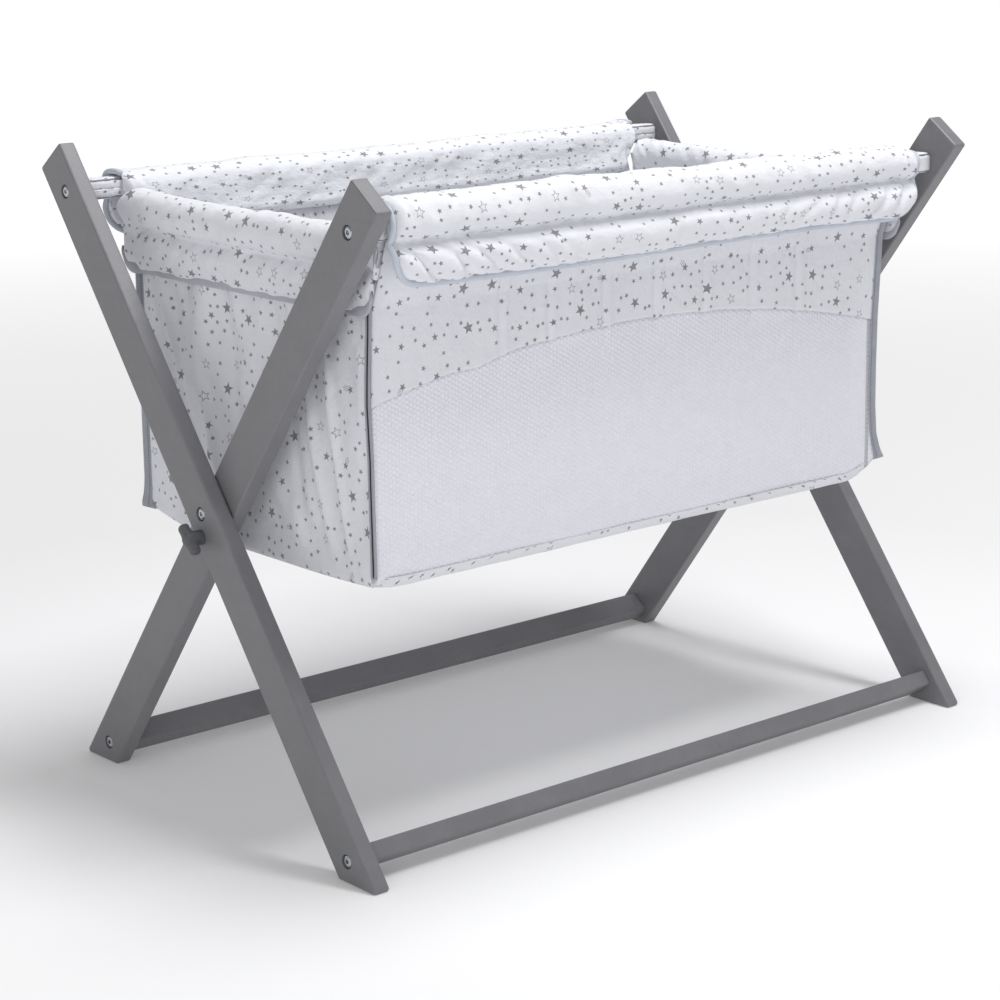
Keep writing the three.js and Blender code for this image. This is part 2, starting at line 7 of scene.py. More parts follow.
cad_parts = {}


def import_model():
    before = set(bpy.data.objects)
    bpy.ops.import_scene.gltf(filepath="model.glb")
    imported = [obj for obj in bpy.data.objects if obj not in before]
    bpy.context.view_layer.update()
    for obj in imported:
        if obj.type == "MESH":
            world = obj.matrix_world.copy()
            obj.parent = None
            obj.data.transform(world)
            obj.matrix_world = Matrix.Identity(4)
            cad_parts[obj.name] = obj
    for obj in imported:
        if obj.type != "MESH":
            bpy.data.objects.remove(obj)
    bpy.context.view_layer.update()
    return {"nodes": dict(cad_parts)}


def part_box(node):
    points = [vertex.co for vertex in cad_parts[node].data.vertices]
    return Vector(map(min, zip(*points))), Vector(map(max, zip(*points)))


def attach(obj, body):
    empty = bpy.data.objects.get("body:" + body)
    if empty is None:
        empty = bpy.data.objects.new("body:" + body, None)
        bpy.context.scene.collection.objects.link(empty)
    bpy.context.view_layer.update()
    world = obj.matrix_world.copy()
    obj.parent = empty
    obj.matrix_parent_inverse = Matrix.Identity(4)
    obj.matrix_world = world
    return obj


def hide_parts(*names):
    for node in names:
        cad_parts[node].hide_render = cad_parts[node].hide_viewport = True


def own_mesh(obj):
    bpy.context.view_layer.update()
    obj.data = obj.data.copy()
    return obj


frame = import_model()
nodes = frame["nodes"]
bpy.ops.object.select_all(action="DESELECT")


# ---------------------------------------------------------------------------
# Timber frames. Two outer legs, two inner legs, two rails and two stretchers in planed softwood,
# sanded, primed and sprayed with a satin mid-grey paint. The grain just shows through as a ripple
# along each piece, and the paint has a fine orange peel and a few rubbed, dusty places.

def new_finish(name, colour, roughness):
    finish = bpy.data.materials.new(name)
    finish.use_nodes = True
    shader = finish.node_tree.nodes["Principled BSDF"]
    shader.inputs["Base Color"].default_value = (*colour, 1)
    shader.inputs["Roughness"].default_value = roughness
    return finish, finish.node_tree, shader


def add_node(tree, kind, inputs=None, **settings):
    made = tree.nodes.new("ShaderNode" + kind)
    for key, value in settings.items():
        setattr(made, key, value)
    for key, value in (inputs or {}).items():
        if isinstance(value, bpy.types.NodeSocket):
            tree.links.new(value, made.inputs[key])
        else:
            made.inputs[key].default_value = value
    return made


def calc(operation, *values):
    """A math node, in the tree that its first socket belongs to."""
    tree = next(v for v in values if isinstance(v, bpy.types.NodeSocket)).id_data
    return add_node(tree, "Math", dict(enumerate(values)), operation=operation).outputs[0]


def plus(a, b):
    return calc("ADD", a, b)


def minus(a, b):
    return calc("SUBTRACT", a, b)


def times(a, b):
    return calc("MULTIPLY", a, b)


def spread(value, low, high, to_low, to_high):
    names = {"Value": value, "From Min": low, "From Max": high, "To Min": to_low, "To Max": to_high}
    return add_node(value.id_data, "MapRange", names).outputs["Result"]


def mottle(place, scale, detail, **more):
    inputs = {"Vector": place, "Scale": scale, "Detail": detail, **more}
    return add_node(place.id_data, "TexNoise", inputs).outputs["Fac"]


def axes_of(vector):
    return add_node(vector.id_data, "SeparateXYZ", {0: vector}).outputs


def tint(factor, first, second):
    mixer = add_node(factor.id_data, "Mix", data_type="RGBA")
    factor.id_data.links.new(factor, mixer.inputs["Factor"])
    for socket, colour in (("A", first), ("B", second)):
        target = [s for s in mixer.inputs if s.name == socket and s.type == "RGBA"][0]
        if isinstance(colour, bpy.types.NodeSocket):
            colour.id_data.links.new(colour, target)
        else:
            target.default_value = (*colour, 1)
    return [s for s in mixer.outputs if s.type == "RGBA"][0]


def feed(shader, name, socket):
    shader.id_data.links.new(socket, shader.inputs[name])


def raise_surface(shader, layers):
    normal = None
    for height, strength, distance in layers:
        inputs = {"Height": height, "Strength": strength, "Distance": distance}
        if normal is not None:
            inputs["Normal"] = normal
        normal = add_node(shader.id_data, "Bump", inputs).outputs["Normal"]
    feed(shader, "Normal", normal)


def dress(node_name, finish):
    piece = nodes[node_name]
    piece.data.materials.clear()
    piece.data.materials.append(finish)


def grey_paint(name, turn):
    finish, tree, shader = new_finish(name, (0.180, 0.176, 0.190), 0.42)
    place = add_node(tree, "TexCoord").outputs["Object"]
    grain_place = add_node(tree, "Mapping", {"Vector": place, "Rotation": turn, "Scale": (40, 3, 40)})
    grain = mottle(grain_place.outputs[0], 4, 5, Roughness=0.6, Distortion=0.3)
    peel = mottle(place, 900, 2)
    worn = spread(mottle(place, 14, 6, Roughness=0.7), 0.42, 0.72, 0.0, 1.0)
    body = tint(grain, (0.166, 0.162, 0.175), (0.193, 0.189, 0.203))
    feed(shader, "Base Color", tint(worn, body, (0.208, 0.206, 0.219)))
    feed(shader, "Roughness", spread(worn, 0, 1, 0.40, 0.52))
    raise_surface(shader, [(grain, 0.18, 0.0004), (peel, 0.10, 0.0002)])
    return finish


lean = math.radians(37)
outer_paint = grey_paint("satin_grey_outer_legs", (lean + math.pi / 2, 0, 0))
inner_paint = grey_paint("satin_grey_inner_legs", (-lean + math.pi / 2, 0, 0))
bar_paint = grey_paint("satin_grey_bars", (0, 0, math.pi / 2))
for end in ("left", "right"):
    dress("outer_leg_" + end, outer_paint)
    dress("inner_leg_" + end, inner_paint)
for bar in ("back_rail", "front_rail", "front_stretcher", "back_stretcher"):
    dress(bar, bar_paint)


# ---------------------------------------------------------------------------
# Fixings. Zinc-plated furniture bolts with a hexagon socket, plain washers and nuts, brass inserts
# pressed into the ends of the bars, and a nylon spacer between each pair of legs.

def plated_metal(name, dark, light, roughness):
    finish, tree, shader = new_finish(name, light, roughness)
    shader.inputs["Metallic"].default_value = 1
    place = add_node(tree, "TexCoord").outputs["Object"]
    cloud = mottle(place, 160, 5)
    rings = mottle(place, 2200, 3)
    feed(shader, "Base Color", tint(spread(cloud, 0.3, 0.7, 0, 1), dark, light))
    rough = spread(cloud, 0.3, 0.7, roughness - 0.07, roughness + 0.12)
    feed(shader, "Roughness", rough)
    raise_surface(shader, [(rings, 0.12, 0.0001)])
    return finish


zinc = plated_metal("zinc_plate", (0.32, 0.35, 0.37), (0.58, 0.62, 0.65), 0.20)
brass = plated_metal("turned_brass", (0.44, 0.33, 0.14), (0.62, 0.49, 0.24), 0.3)
for bar in ("back_rail", "front_rail", "front_stretcher", "back_stretcher"):
    for end in ("left", "right"):
        dress(f"{bar}_bolt_{end}", zinc)
        dress(f"{bar}_insert_{end}", brass)
nylon, tree, shader = new_finish("white_nylon", (0.74, 0.74, 0.71), 0.45)
place = add_node(tree, "TexCoord").outputs["Object"]
speck = mottle(place, 700, 3)
feed(shader, "Base Color", tint(speck, (0.70, 0.70, 0.67), (0.80, 0.80, 0.77)))
raise_surface(shader, [(speck, 0.15, 0.0002)])
for end in ("left", "right"):
    for part in ("pivot_bolt_", "pivot_nut_", "lock_bolt_", "knob_washer_"):
        dress(part + end, zinc)
    dress("pivot_spacer_" + end, nylon)


# ---------------------------------------------------------------------------
# Lock knobs. Each is a two-winged knob moulded in dark grey plastic with a fine spark texture,
# screwed on the end of the lock bolt: a fat tapered hub that runs smoothly into two blunt wings.

knob_finish, tree, shader = new_finish("moulded_dark_grey", (0.085, 0.09, 0.098), 0.5)
place = add_node(tree, "TexCoord").outputs["Object"]
spark = mottle(place, 1500, 4)
handled = mottle(place, 60, 3)
feed(shader, "Base Color", tint(handled, (0.078, 0.082, 0.090), (0.105, 0.110, 0.120)))
feed(shader, "Roughness", spread(handled, 0.3, 0.7, 0.42, 0.62))
raise_surface(shader, [(spark, 0.35, 0.0003)])
wing_tilt = math.radians(46)


def pick_faces(piece, wanted):
    bpy.ops.object.mode_set(mode="EDIT")
    bpy.ops.mesh.select_mode(type="FACE")
    bpy.ops.mesh.select_all(action="DESELECT")
    bpy.ops.object.mode_set(mode="OBJECT")
    for face in piece.data.polygons:
        face.select = wanted(face.center, face.normal)
    bpy.ops.object.mode_set(mode="EDIT")


def draw_out(step, scale, centre):
    bpy.ops.mesh.extrude_region_move(TRANSFORM_OT_translate={"value": step})
    bpy.ops.transform.resize(value=scale, center_override=centre)


def apply_modifier(piece, kind, **settings):
    bpy.context.view_layer.objects.active = piece
    made = piece.modifiers.new(kind.lower(), kind)
    for key, value in settings.items():
        setattr(made, key, value)
    bpy.ops.object.modifier_apply(modifier=made.name)


def finish_piece(piece, finish, body):
    piece.data.materials.clear()
    piece.data.materials.append(finish)
    bpy.context.view_layer.objects.active = piece
    piece.select_set(True)
    bpy.ops.object.shade_smooth()
    piece.select_set(False)
    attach(piece, body)
    return piece


def lock_knob(side, end):
    low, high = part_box("knob_" + end)
    axis = Vector((0, (low.y + high.y) / 2, (low.z + high.z) / 2))
    foot, tip = sorted((low.x, high.x), key=abs)
    tip -= side * 0.0015
    reach = math.hypot(high.y - low.y, high.z - low.z) / 2
    wing = Vector((0, math.cos(wing_tilt), math.sin(wing_tilt)))
    bpy.ops.object.select_all(action="DESELECT")
    bpy.ops.mesh.primitive_cylinder_add(
        vertices=12, radius=0.0088, depth=0.005, rotation=(0, math.pi / 2, 0),
        location=(foot + side * 0.0027, axis.y, axis.z),
    )
    piece = bpy.context.object
    piece.name = "knob_body_" + end
    bpy.ops.object.transform_apply(location=True, rotation=True, scale=True)
    pick_faces(piece, lambda centre, normal: normal.x * side > 0.9)
    band = abs(tip - foot) - 0.0125
    draw_out((side * (band - 0.0052), 0, 0), (1, 0.98, 0.98), axis)
    draw_out((side * 0.0108, 0, 0), (1, 0.92, 0.92), axis)
    draw_out((side * 0.0013, 0, 0), (1, 0.62, 0.62), axis)
    bpy.ops.object.mode_set(mode="OBJECT")
    for way in (1, -1):
        across = wing * way

        def on_wing(centre, normal):
            inside = foot + side * (band - 0.001) if side > 0 else tip
            outside = tip if side > 0 else foot + side * (band - 0.001)
            return normal.dot(across) > 0.72 and min(inside, outside) < centre.x < max(inside, outside)

        pick_faces(piece, on_wing)
        middle = Vector((tip - side * 0.0062, axis.y, axis.z)) + across * reach * 0.55
        for share, thick in ((0.20, 0.95), (0.26, 1.05), (0.10, 0.70)):
            bpy.ops.mesh.extrude_region_move(TRANSFORM_OT_translate={"value": across * reach * share})
            bpy.ops.transform.resize(value=(thick, 1, 1), center_override=middle)
        bpy.ops.object.mode_set(mode="OBJECT")
    bpy.ops.object.mode_set(mode="EDIT")
    bpy.ops.mesh.select_all(action="SELECT")
    bpy.ops.mesh.normals_make_consistent(inside=False)
    bpy.ops.object.mode_set(mode="OBJECT")
    apply_modifier(piece, "SUBSURF", levels=3, render_levels=3)
    finish_piece(piece, knob_finish, end + "_knob")
    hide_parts("knob_" + end)


lock_knob(-1, "left")
lock_knob(1, "right")


# ---------------------------------------------------------------------------
# Rail sleeves. A tube of the printed cotton is drawn over each square rail and shows as a short
# stub beside the legs. The front one is the plain white lining cloth, the back one is printed.

def distance(a, b):
    return calc("SQRT", plus(times(a, a), times(b, b)))


def star_cloth(name, base, ink):
    finish, tree, shader = new_finish(name, base, 0.85)
    shader.inputs["Sheen Weight"].default_value = 0.25
    shader.inputs["Sheen Roughness"].default_value = 0.5
    shader.inputs["Specular IOR Level"].default_value = 0.25
    cloth = add_node(tree, "UVMap", uv_map="cut").outputs["UV"]

    def nearest(vector, size, randomness):
        cell = add_node(tree, "TexVoronoi", {
            "Vector": vector, "Scale": 1 / size, "Randomness": randomness,
        }, voronoi_dimensions="2D")
        return cell.outputs["Position"], cell.outputs["Color"]

    def apart(a, b):
        gap = add_node(tree, "VectorMath", {0: a, 1: b}, operation="SUBTRACT").outputs[0]
        return axes_of(gap)[0], axes_of(gap)[1]

    def five_points(x, y, angle, radius):
        theta = plus(calc("ARCTAN2", y, x), times(angle, math.tau))
        folded = calc("PINGPONG", theta, math.pi / 5)
        share = calc("DIVIDE", distance(x, y), radius)
        along = minus(times(share, calc("COSINE", folded)), 1.0)
        across = times(share, calc("SINE", folded))
        # distance from the star's edge, whose slope comes from its inner points
        return plus(times(along, 0.3503), times(across, 0.9366))

    def all_of(*tests):
        answer = tests[0]
        for test in tests[1:]:
            answer = times(answer, test)
        return answer

    # large motifs: solid stars, outlined stars and shooting stars
    motif_cell, motif_scatter = 0.042, 0.62
    centre, dice = nearest(cloth, motif_cell, motif_scatter)
    throw = add_node(tree, "SeparateColor", {0: dice})
    angle, kind, extra = throw.outputs[0], throw.outputs[1], throw.outputs[2]
    x, y = apart(cloth, centre)
    big = calc("GREATER_THAN", kind, 0.62)
    hollow = calc("LESS_THAN", kind, 0.26)
    shooting = calc("COMPARE", kind, 0.33, 0.05)
    radius = plus(times(extra, 0.0010), 0.0046)
    radius = plus(radius, times(big, 0.0024))
    radius = plus(radius, times(hollow, 0.0018))
    star = five_points(x, y, angle, radius)
    solid = all_of(calc("LESS_THAN", star, 0.0), minus(1.0, hollow))
    outline = all_of(calc("COMPARE", star, -0.06, 0.065), hollow, 0.75)
    turn = times(angle, math.tau)
    cos_turn, sin_turn = calc("COSINE", turn), calc("SINE", turn)
    back = plus(times(x, cos_turn), times(y, sin_turn))
    aside = minus(times(y, cos_turn), times(x, sin_turn))
    back = calc("DIVIDE", back, radius)
    aside = calc("ABSOLUTE", calc("DIVIDE", aside, radius))
    middle_streak, side_streaks = calc("LESS_THAN", aside, 0.10), calc("COMPARE", aside, 0.42, 0.09)
    tail = all_of(
        calc("MAXIMUM", middle_streak, side_streaks),
        calc("GREATER_THAN", back, 0.70),
        calc("LESS_THAN", plus(back, aside), 2.3),
        shooting,
        0.7,
    )
    motif = calc("MAXIMUM", solid, calc("MAXIMUM", outline, tail))

    # small stars scattered between them
    small_centre, small_dice = nearest(cloth, 0.0158, 0.80)
    small_throw = add_node(tree, "SeparateColor", {0: small_dice})
    small_x, small_y = apart(cloth, small_centre)
    small_radius = plus(times(small_throw.outputs[2], 0.0006), 0.0020)
    small = five_points(small_x, small_y, small_throw.outputs[0], small_radius)
    from_big = add_node(tree, "VectorMath", {
        0: nearest(small_centre, motif_cell, motif_scatter)[0], 1: small_centre,
    }, operation="DISTANCE").outputs["Value"]
    small = all_of(
        calc("LESS_THAN", small, 0.13),
        calc("GREATER_THAN", from_big, 0.0105),
        calc("LESS_THAN", small_throw.outputs[1], 0.74),
    )
    printed = calc("MAXIMUM", motif, small)
    fade = mottle(cloth, 220, 3)
    printed = times(printed, spread(fade, 0.3, 0.7, 0.78, 1.0))

    shade = mottle(cloth, 9, 4)
    paler = tuple(min(1, c * 1.04) for c in base)
    ground = tint(shade, tuple(c * 0.97 for c in base), paler)
    feed(shader, "Base Color", tint(printed, ground, ink))

    warp, weft = (calc("SINE", times(axes_of(cloth)[i], 9000)) for i in (0, 1))
    pucker = mottle(cloth, 55, 4, Roughness=0.6)
    raise_surface(shader, [(pucker, 0.6, 0.0040), (times(warp, weft), 0.22, 0.0002)])
    return finish


def points_of(mesh):
    points = np.empty(len(mesh.vertices) * 3, np.float32)
    mesh.vertices.foreach_get("co", points)
    return points.reshape(-1, 3)


def put_points(mesh, points):
    mesh.vertices.foreach_set("co", points.astype(np.float32).ravel())
    mesh.update()


def lay_grid(name, columns, rows, place):
    """A rectangle of cloth, its points moved to where place(u, v) puts them."""
    bpy.ops.object.select_all(action="DESELECT")
    bpy.ops.mesh.primitive_grid_add(x_subdivisions=columns, y_subdivisions=rows, size=2)
    piece = bpy.context.object
    piece.name = piece.data.name = name
    across, along, _ = points_of(piece.data).astype(float).T
    moved, cut = place(across, along)
    corners = np.empty(len(piece.data.loops), np.int32)
    piece.data.loops.foreach_get("vertex_index", corners)
    layer = piece.data.uv_layers[0]
    layer.name = "cut"
    layer.data.foreach_set("uv", cut[corners].astype(np.float32).ravel())
    put_points(piece.data, moved)
    return piece


def close_up(piece, cap_ends=False):
    """Join the meeting edges of a rolled cloth and, where asked, close the ends of the tube."""
    bpy.ops.object.mode_set(mode="EDIT")
    bpy.ops.mesh.select_all(action="SELECT")
    bpy.ops.mesh.remove_doubles(threshold=1e-5)
    if cap_ends:
        bpy.ops.mesh.select_all(action="DESELECT")
        bpy.ops.mesh.select_mode(type="EDGE")
        bpy.ops.mesh.select_non_manifold()
        bpy.ops.mesh.edge_face_add()
        bpy.ops.mesh.select_all(action="SELECT")
    bpy.ops.mesh.normals_make_consistent(inside=False)
    bpy.ops.object.mode_set(mode="OBJECT")


def through(points, t):
    """A smooth line through evenly numbered points, read at t from 0 to 1."""
    points = np.asarray(points, float)
    last = len(points) - 1
    place = np.clip(t, 0, 1) * last
    i = np.minimum(place.astype(int), last - 1)
    f = (place - i)[:, None]
    before, here = points[np.maximum(i - 1, 0)], points[i]
    there, after = points[i + 1], points[np.minimum(i + 2, last)]
    return 0.5 * (
        2 * here
        + (there - before) * f
        + (2 * before - 5 * here + 4 * there - after) * f * f
        + (3 * here - 3 * there + after - before) * f ** 3
    )


def ripple(x, y, size, seed):
    """Smooth unevenness from -1 to 1, the same each time."""
    return np.array([noise.noise(Vector((a / size, b / size, seed))) for a, b in zip(x, y)])


white_lining = star_cloth("plain_white_lining", (0.80, 0.81, 0.845), (0.80, 0.81, 0.845))
star_print = star_cloth("white_star_print", (0.745, 0.755, 0.80), (0.20, 0.195, 0.21))

rail_low, rail_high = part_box("front_rail")
rail_y = -(rail_low.y + rail_high.y) / 2
rail_z = (rail_low.z + rail_high.z) / 2
sleeve_half = (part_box("front_rail_sleeve")[1].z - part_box("front_rail_sleeve")[0].z) / 2
cotton = 0.0009


def rail_sleeve(side, name, body, finish):
    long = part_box(name)[1].x

    def place(u, v):
        around = v * math.pi
        half = sleeve_half - 0.0011
        square = half / np.maximum(np.abs(np.cos(around)), np.abs(np.sin(around)))
        rounded = half * 1.19
        crease = ripple(u * long, around * 0.012, 0.011, 3.1) * 0.0007
        reach = np.minimum(square, rounded) + crease * (np.abs(u) < 0.999)
        points = np.stack([
            u * long,
            side * (rail_y + reach * np.cos(around)),
            rail_z + reach * np.sin(around),
        ], 1)
        return points, np.stack([u * long, v * 4 * half], 1)

    piece = lay_grid(name + "_cloth", 150, 36, place)
    close_up(piece)
    apply_modifier(piece, "SOLIDIFY", thickness=cotton, offset=-1)
    finish_piece(piece, finish, body)
    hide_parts(name)


rail_sleeve(-1, "front_rail_sleeve", "inner_frame", white_lining)
rail_sleeve(1, "back_rail_sleeve", "outer_frame", star_print)


# ---------------------------------------------------------------------------
# Cradle floor. A rectangle of the printed cotton with rounded corners, its edge turned up about
# 12 mm and sewn round the foot of the walls, so that it shows as a printed strip below the mesh.

floor_low, floor_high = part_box("floor_panel")
end_x, wall_y, floor_z = floor_high.x, floor_high.y, floor_low.z


def fold_away(piece):
    """Give a soft piece its own copy of its mesh."""
    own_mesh(piece)


def corner_lift(x, y):
    """How far the cloth is drawn up at each lower corner, most at the two on the right."""
    along = np.clip((np.abs(x) - end_x + 0.058) / 0.055, 0, 1) ** 2
    inward = np.clip((np.abs(y) - wall_y + 0.125) / 0.120, 0, 1) ** 2
    height = np.where(y < 0, np.where(x < 0, 0.003, 0.020), 0.015)
    return height * along * inward


def floor_place(u, v):
    rim, lip, corner = 0.012, 0.009, 0.024
    half_x, half_y = end_x - 0.0022, wall_y + 0.0006
    # distance out along the cut cloth, wrapped up over the rounded lower edge
    reach = np.maximum(np.abs(u), np.abs(v))
    angle = np.arctan2(v, u)
    flat_share = 0.9
    inner = np.clip(reach / flat_share, 0, 1)
    lifted = np.clip((reach - flat_share) / (1 - flat_share), 0, 1)
    cx, cy = np.cos(angle), np.sin(angle)
    square = 1 / np.maximum(np.abs(cx), np.abs(cy))
    ex, ey = cx * square * half_x, cy * square * half_y
    over_x = np.maximum(np.abs(ex) - (half_x - corner), 0)
    over_y = np.maximum(np.abs(ey) - (half_y - corner), 0)
    over = np.hypot(over_x, over_y)
    trim = np.where(over > corner, corner / np.maximum(over, 1e-9), 1)
    ex = np.sign(ex) * (np.minimum(np.abs(ex), half_x - corner) + over_x * trim)
    ey = np.sign(ey) * (np.minimum(np.abs(ey), half_y - corner) + over_y * trim)
    bend = lifted * (math.pi / 2)
    turned = np.minimum(bend * 1.6, math.pi / 2)
    draw = lip * (1 - np.sin(turned))
    length = np.maximum(np.hypot(ex, ey), 1e-9)
    px = ex * (length - draw) / length * inner
    py = ey * (length - draw) / length * inner
    sag = -0.0016 * np.cos(u * math.pi / 2) * np.cos(v * math.pi / 2)
    lift = lip * (1 - np.cos(turned)) + (rim - lip) * np.clip(lifted * 1.8 - 0.8, 0, 1)
    wave = ripple(px, py, 0.05, 7.7) * 0.0008 * (1 - lifted)
    points = np.stack([px, py, floor_z - 0.0012 + sag + wave + lift + corner_lift(px, py)], 1)
    return points, np.stack([u * (end_x + rim), v * (wall_y + rim)], 1)


floor_cloth = lay_grid("floor_cloth", 150, 96, floor_place)
apply_modifier(floor_cloth, "SOLIDIFY", thickness=cotton, offset=1)
finish_piece(floor_cloth, star_print, "outer_frame")
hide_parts("floor_panel")
fold_away(floor_cloth)


# ---------------------------------------------------------------------------
# Base board. A loose rectangle of 4 mm hardboard with rounded corners, smooth face up, lying on the
# cradle floor under the mattress.

board_finish, tree, shader = new_finish("brown_hardboard", (0.30, 0.19, 0.10), 0.6)
place = add_node(tree, "TexCoord").outputs["Object"]
fibre_place = add_node(tree, "Mapping", {"Vector": place, "Scale": (60, 260, 60)}).outputs[0]
fibre = mottle(fibre_place, 5, 8, Roughness=0.7)
fleck = add_node(tree, "TexVoronoi", {"Vector": place, "Scale": 900}).outputs["Distance"]
feed(shader, "Base Color", tint(fibre, (0.24, 0.145, 0.075), (0.36, 0.24, 0.135)))
raise_surface(shader, [(fibre, 0.25, 0.0004), (fleck, 0.1, 0.0002)])
board_low, board_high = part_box("base_board")


def rounded_slab(name, low, high, corner):
    bpy.ops.object.select_all(action="DESELECT")
    bpy.ops.mesh.primitive_cube_add(size=1, location=(low + high) / 2)
    piece = bpy.context.object
    piece.name = piece.data.name = name
    piece.scale = high - low
    bpy.ops.object.transform_apply(location=True, rotation=False, scale=True)
    bpy.ops.object.mode_set(mode="EDIT")
    bpy.ops.mesh.select_mode(type="EDGE")
    bpy.ops.mesh.select_all(action="DESELECT")
    bpy.ops.object.mode_set(mode="OBJECT")
    for edge in piece.data.edges:
        a, b = (piece.data.vertices[i].co for i in edge.vertices)
        edge.select = abs(a.x - b.x) + abs(a.y - b.y) < 0.0001
    bpy.ops.object.mode_set(mode="EDIT")
    bpy.ops.mesh.bevel(offset=corner, segments=8)
    bpy.ops.object.mode_set(mode="OBJECT")
    return piece


board = rounded_slab("base_board_panel", board_low, board_high, 0.025)
apply_modifier(board, "BEVEL", width=0.0007, segments=2, limit_method="ANGLE", angle_limit=math.radians(40))
board.data.materials.append(board_finish)
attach(board, "base_board")
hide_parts("base_board")
fold_away(board)


# ---------------------------------------------------------------------------
# Mattress. A 38 mm foam pad in a white woven cover: crowned top, sides that pull in slightly, and a
# corded seam round the upper and the lower edge.

ticking, tree, shader = new_finish("white_mattress_ticking", (0.86, 0.86, 0.87), 0.88)
shader.inputs["Sheen Weight"].default_value = 0.2
place = add_node(tree, "TexCoord").outputs["Object"]
along, across = axes_of(place)[0], axes_of(place)[1]
rib, crossing = (calc("SINE", times(way(along, across), 3200)) for way in (plus, minus))
cloudy = mottle(place, 25, 4)
feed(shader, "Base Color", tint(cloudy, (0.82, 0.82, 0.835), (0.89, 0.89, 0.90)))
raise_surface(shader, [(cloudy, 0.3, 0.002), (times(rib, crossing), 0.25, 0.0003)])

bed_low, bed_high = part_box("mattress")


def swell(piece, cap, voxel, pressure, frames):
    """Fill a closed shape as wadding does, with cloth held to within cap of where it was sewn."""
    apply_modifier(piece, "REMESH", mode="VOXEL", voxel_size=voxel, use_smooth_shade=True)
    start = points_of(piece.data)
    bpy.context.view_layer.objects.active = piece
    cloth = piece.modifiers.new("cloth", "CLOTH")
    cloth.settings.quality = 5
    cloth.settings.mass = 0.3
    cloth.settings.tension_stiffness = 15
    cloth.settings.compression_stiffness = 15
    cloth.settings.bending_stiffness = 0.5
    cloth.settings.use_pressure = True
    cloth.settings.uniform_pressure_force = pressure
    cloth.settings.shrink_min = -0.04
    cloth.settings.effector_weights.gravity = 0
    cloth.point_cache.frame_start, cloth.point_cache.frame_end = 1, frames
    for step in range(1, frames + 1):
        bpy.context.scene.frame_set(step)
    filled = piece.evaluated_get(bpy.context.evaluated_depsgraph_get()).to_mesh()
    move = points_of(filled) - start
    piece.modifiers.remove(cloth)
    bpy.context.scene.frame_set(1)
    far = np.linalg.norm(move, axis=1)[:, None]
    move *= np.minimum(1, cap / np.maximum(far, 1e-9))
    put_points(piece.data, start + move)


shrink = Vector((0.004, 0.004, 0.0015))
mattress = rounded_slab("mattress_pad", bed_low + shrink, bed_high - shrink, 0.030)
apply_modifier(mattress, "BEVEL", width=0.006, segments=3, limit_method="ANGLE", angle_limit=math.radians(40))
swell(mattress, cap=0.004, voxel=0.006, pressure=4, frames=20)
apply_modifier(mattress, "SUBSURF", levels=1, render_levels=1)
points = points_of(mattress.data)
points[:, 2] = np.clip(points[:, 2], bed_low.z + 0.0005, None)
put_points(mattress.data, points)
finish_piece(mattress, ticking, "mattress")
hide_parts("mattress")
fold_away(mattress)


def edge_cord(name, points, radius, finish, body, closed=False, sides=8):
    """A cord of even thickness along a smooth line, its two ends capped flat when it is open."""
    line = [Vector(p) for p in points]
    data = bpy.data.curves.new(name, "CURVE")
    data.dimensions = "3D"
    data.bevel_depth = radius
    data.bevel_resolution = sides // 4
    data.use_fill_caps = not closed
    spline = data.splines.new("POLY")
    spline.points.add(len(line) - 1)
    for target, source in zip(spline.points, line):
        target.co = (*source, 1)
    spline.use_cyclic_u = closed
    piece = bpy.data.objects.new(name, data)
    bpy.context.scene.collection.objects.link(piece)
    bpy.ops.object.select_all(action="DESELECT")
    piece.select_set(True)
    bpy.context.view_layer.objects.active = piece
    bpy.ops.object.convert(target="MESH")
    piece = bpy.context.object
    close_up(piece)
    return finish_piece(piece, finish, body)


def rounded_loop(half_x, half_y, corner, z):
    steps = 10
    line = []
    for sx, sy, start in ((1, 1, 0), (-1, 1, 90), (-1, -1, 180), (1, -1, 270)):
        for i in range(steps + 1):
            a = math.radians(start + 90 * i / steps)
            line.append((
                sx * (half_x - corner) + corner * math.cos(a),
                sy * (half_y - corner) + corner * math.sin(a),
                z,
            ))
    return line


for level, z in (("upper", bed_high.z - 0.0065), ("lower", bed_low.z + 0.0065)):
    loop = rounded_loop(bed_high.x - 0.0004, bed_high.y - 0.0004, 0.031, z)
    cord = edge_cord(f"mattress_{level}_cord", loop, 0.0018, ticking, "mattress", closed=True)
    fold_away(cord)


# ---------------------------------------------------------------------------
# End walls. Printed cotton from the end roll down to the floor, gathered a little at the top and
# drawn in at the corners, so that soft folds run down it and its lower edge sags.

bend_z = rail_z - 0.090
wall_top_z = rail_z - sleeve_half - 0.0003
wall_top_y = rail_y - sleeve_half


def wall_reach(z):
    rise = np.clip((z - bend_z) / (wall_top_z - bend_z), 0, 1.2)
    return wall_y + (wall_top_y - wall_y) * rise


def fold_line(distance, width):
    return np.exp(-(distance / width) ** 2)


def side_edge(side, sign, z):
    """Half length of a side wall at a height. Its corner springs out at the foot on the right."""
    heights = [0.30, 0.320, 0.337, 0.355, 0.389, 0.437, 0.50, 0.61, 0.68]
    if (side, sign) == (-1, 1):
        lean_out = [9, 6, 1, -3.5, -6.5, -7, -6, 0.5, 0.5]
    elif (side, sign) == (-1, -1):
        lean_out = [0, 0, 0, 0, 0.5, 0.5, 3, -1, -3]
    else:
        lean_out = [2, 1, 0, 0, 0, 0, 0, 0, 0]
    return end_x - 0.0065 + np.interp(z, heights, lean_out) * 0.001


end_folds = (
    (-0.150, -0.060, 7, 0.009), (-0.178, -0.120, 6, 0.007), (-0.110, -0.020, -6, 0.010),
    (0.090, 0.192, 7, 0.007), (0.120, 0.196, -7, 0.008), (0.045, 0.160, 6, 0.009), (0.0, 0.06, -5, 0.012),
)


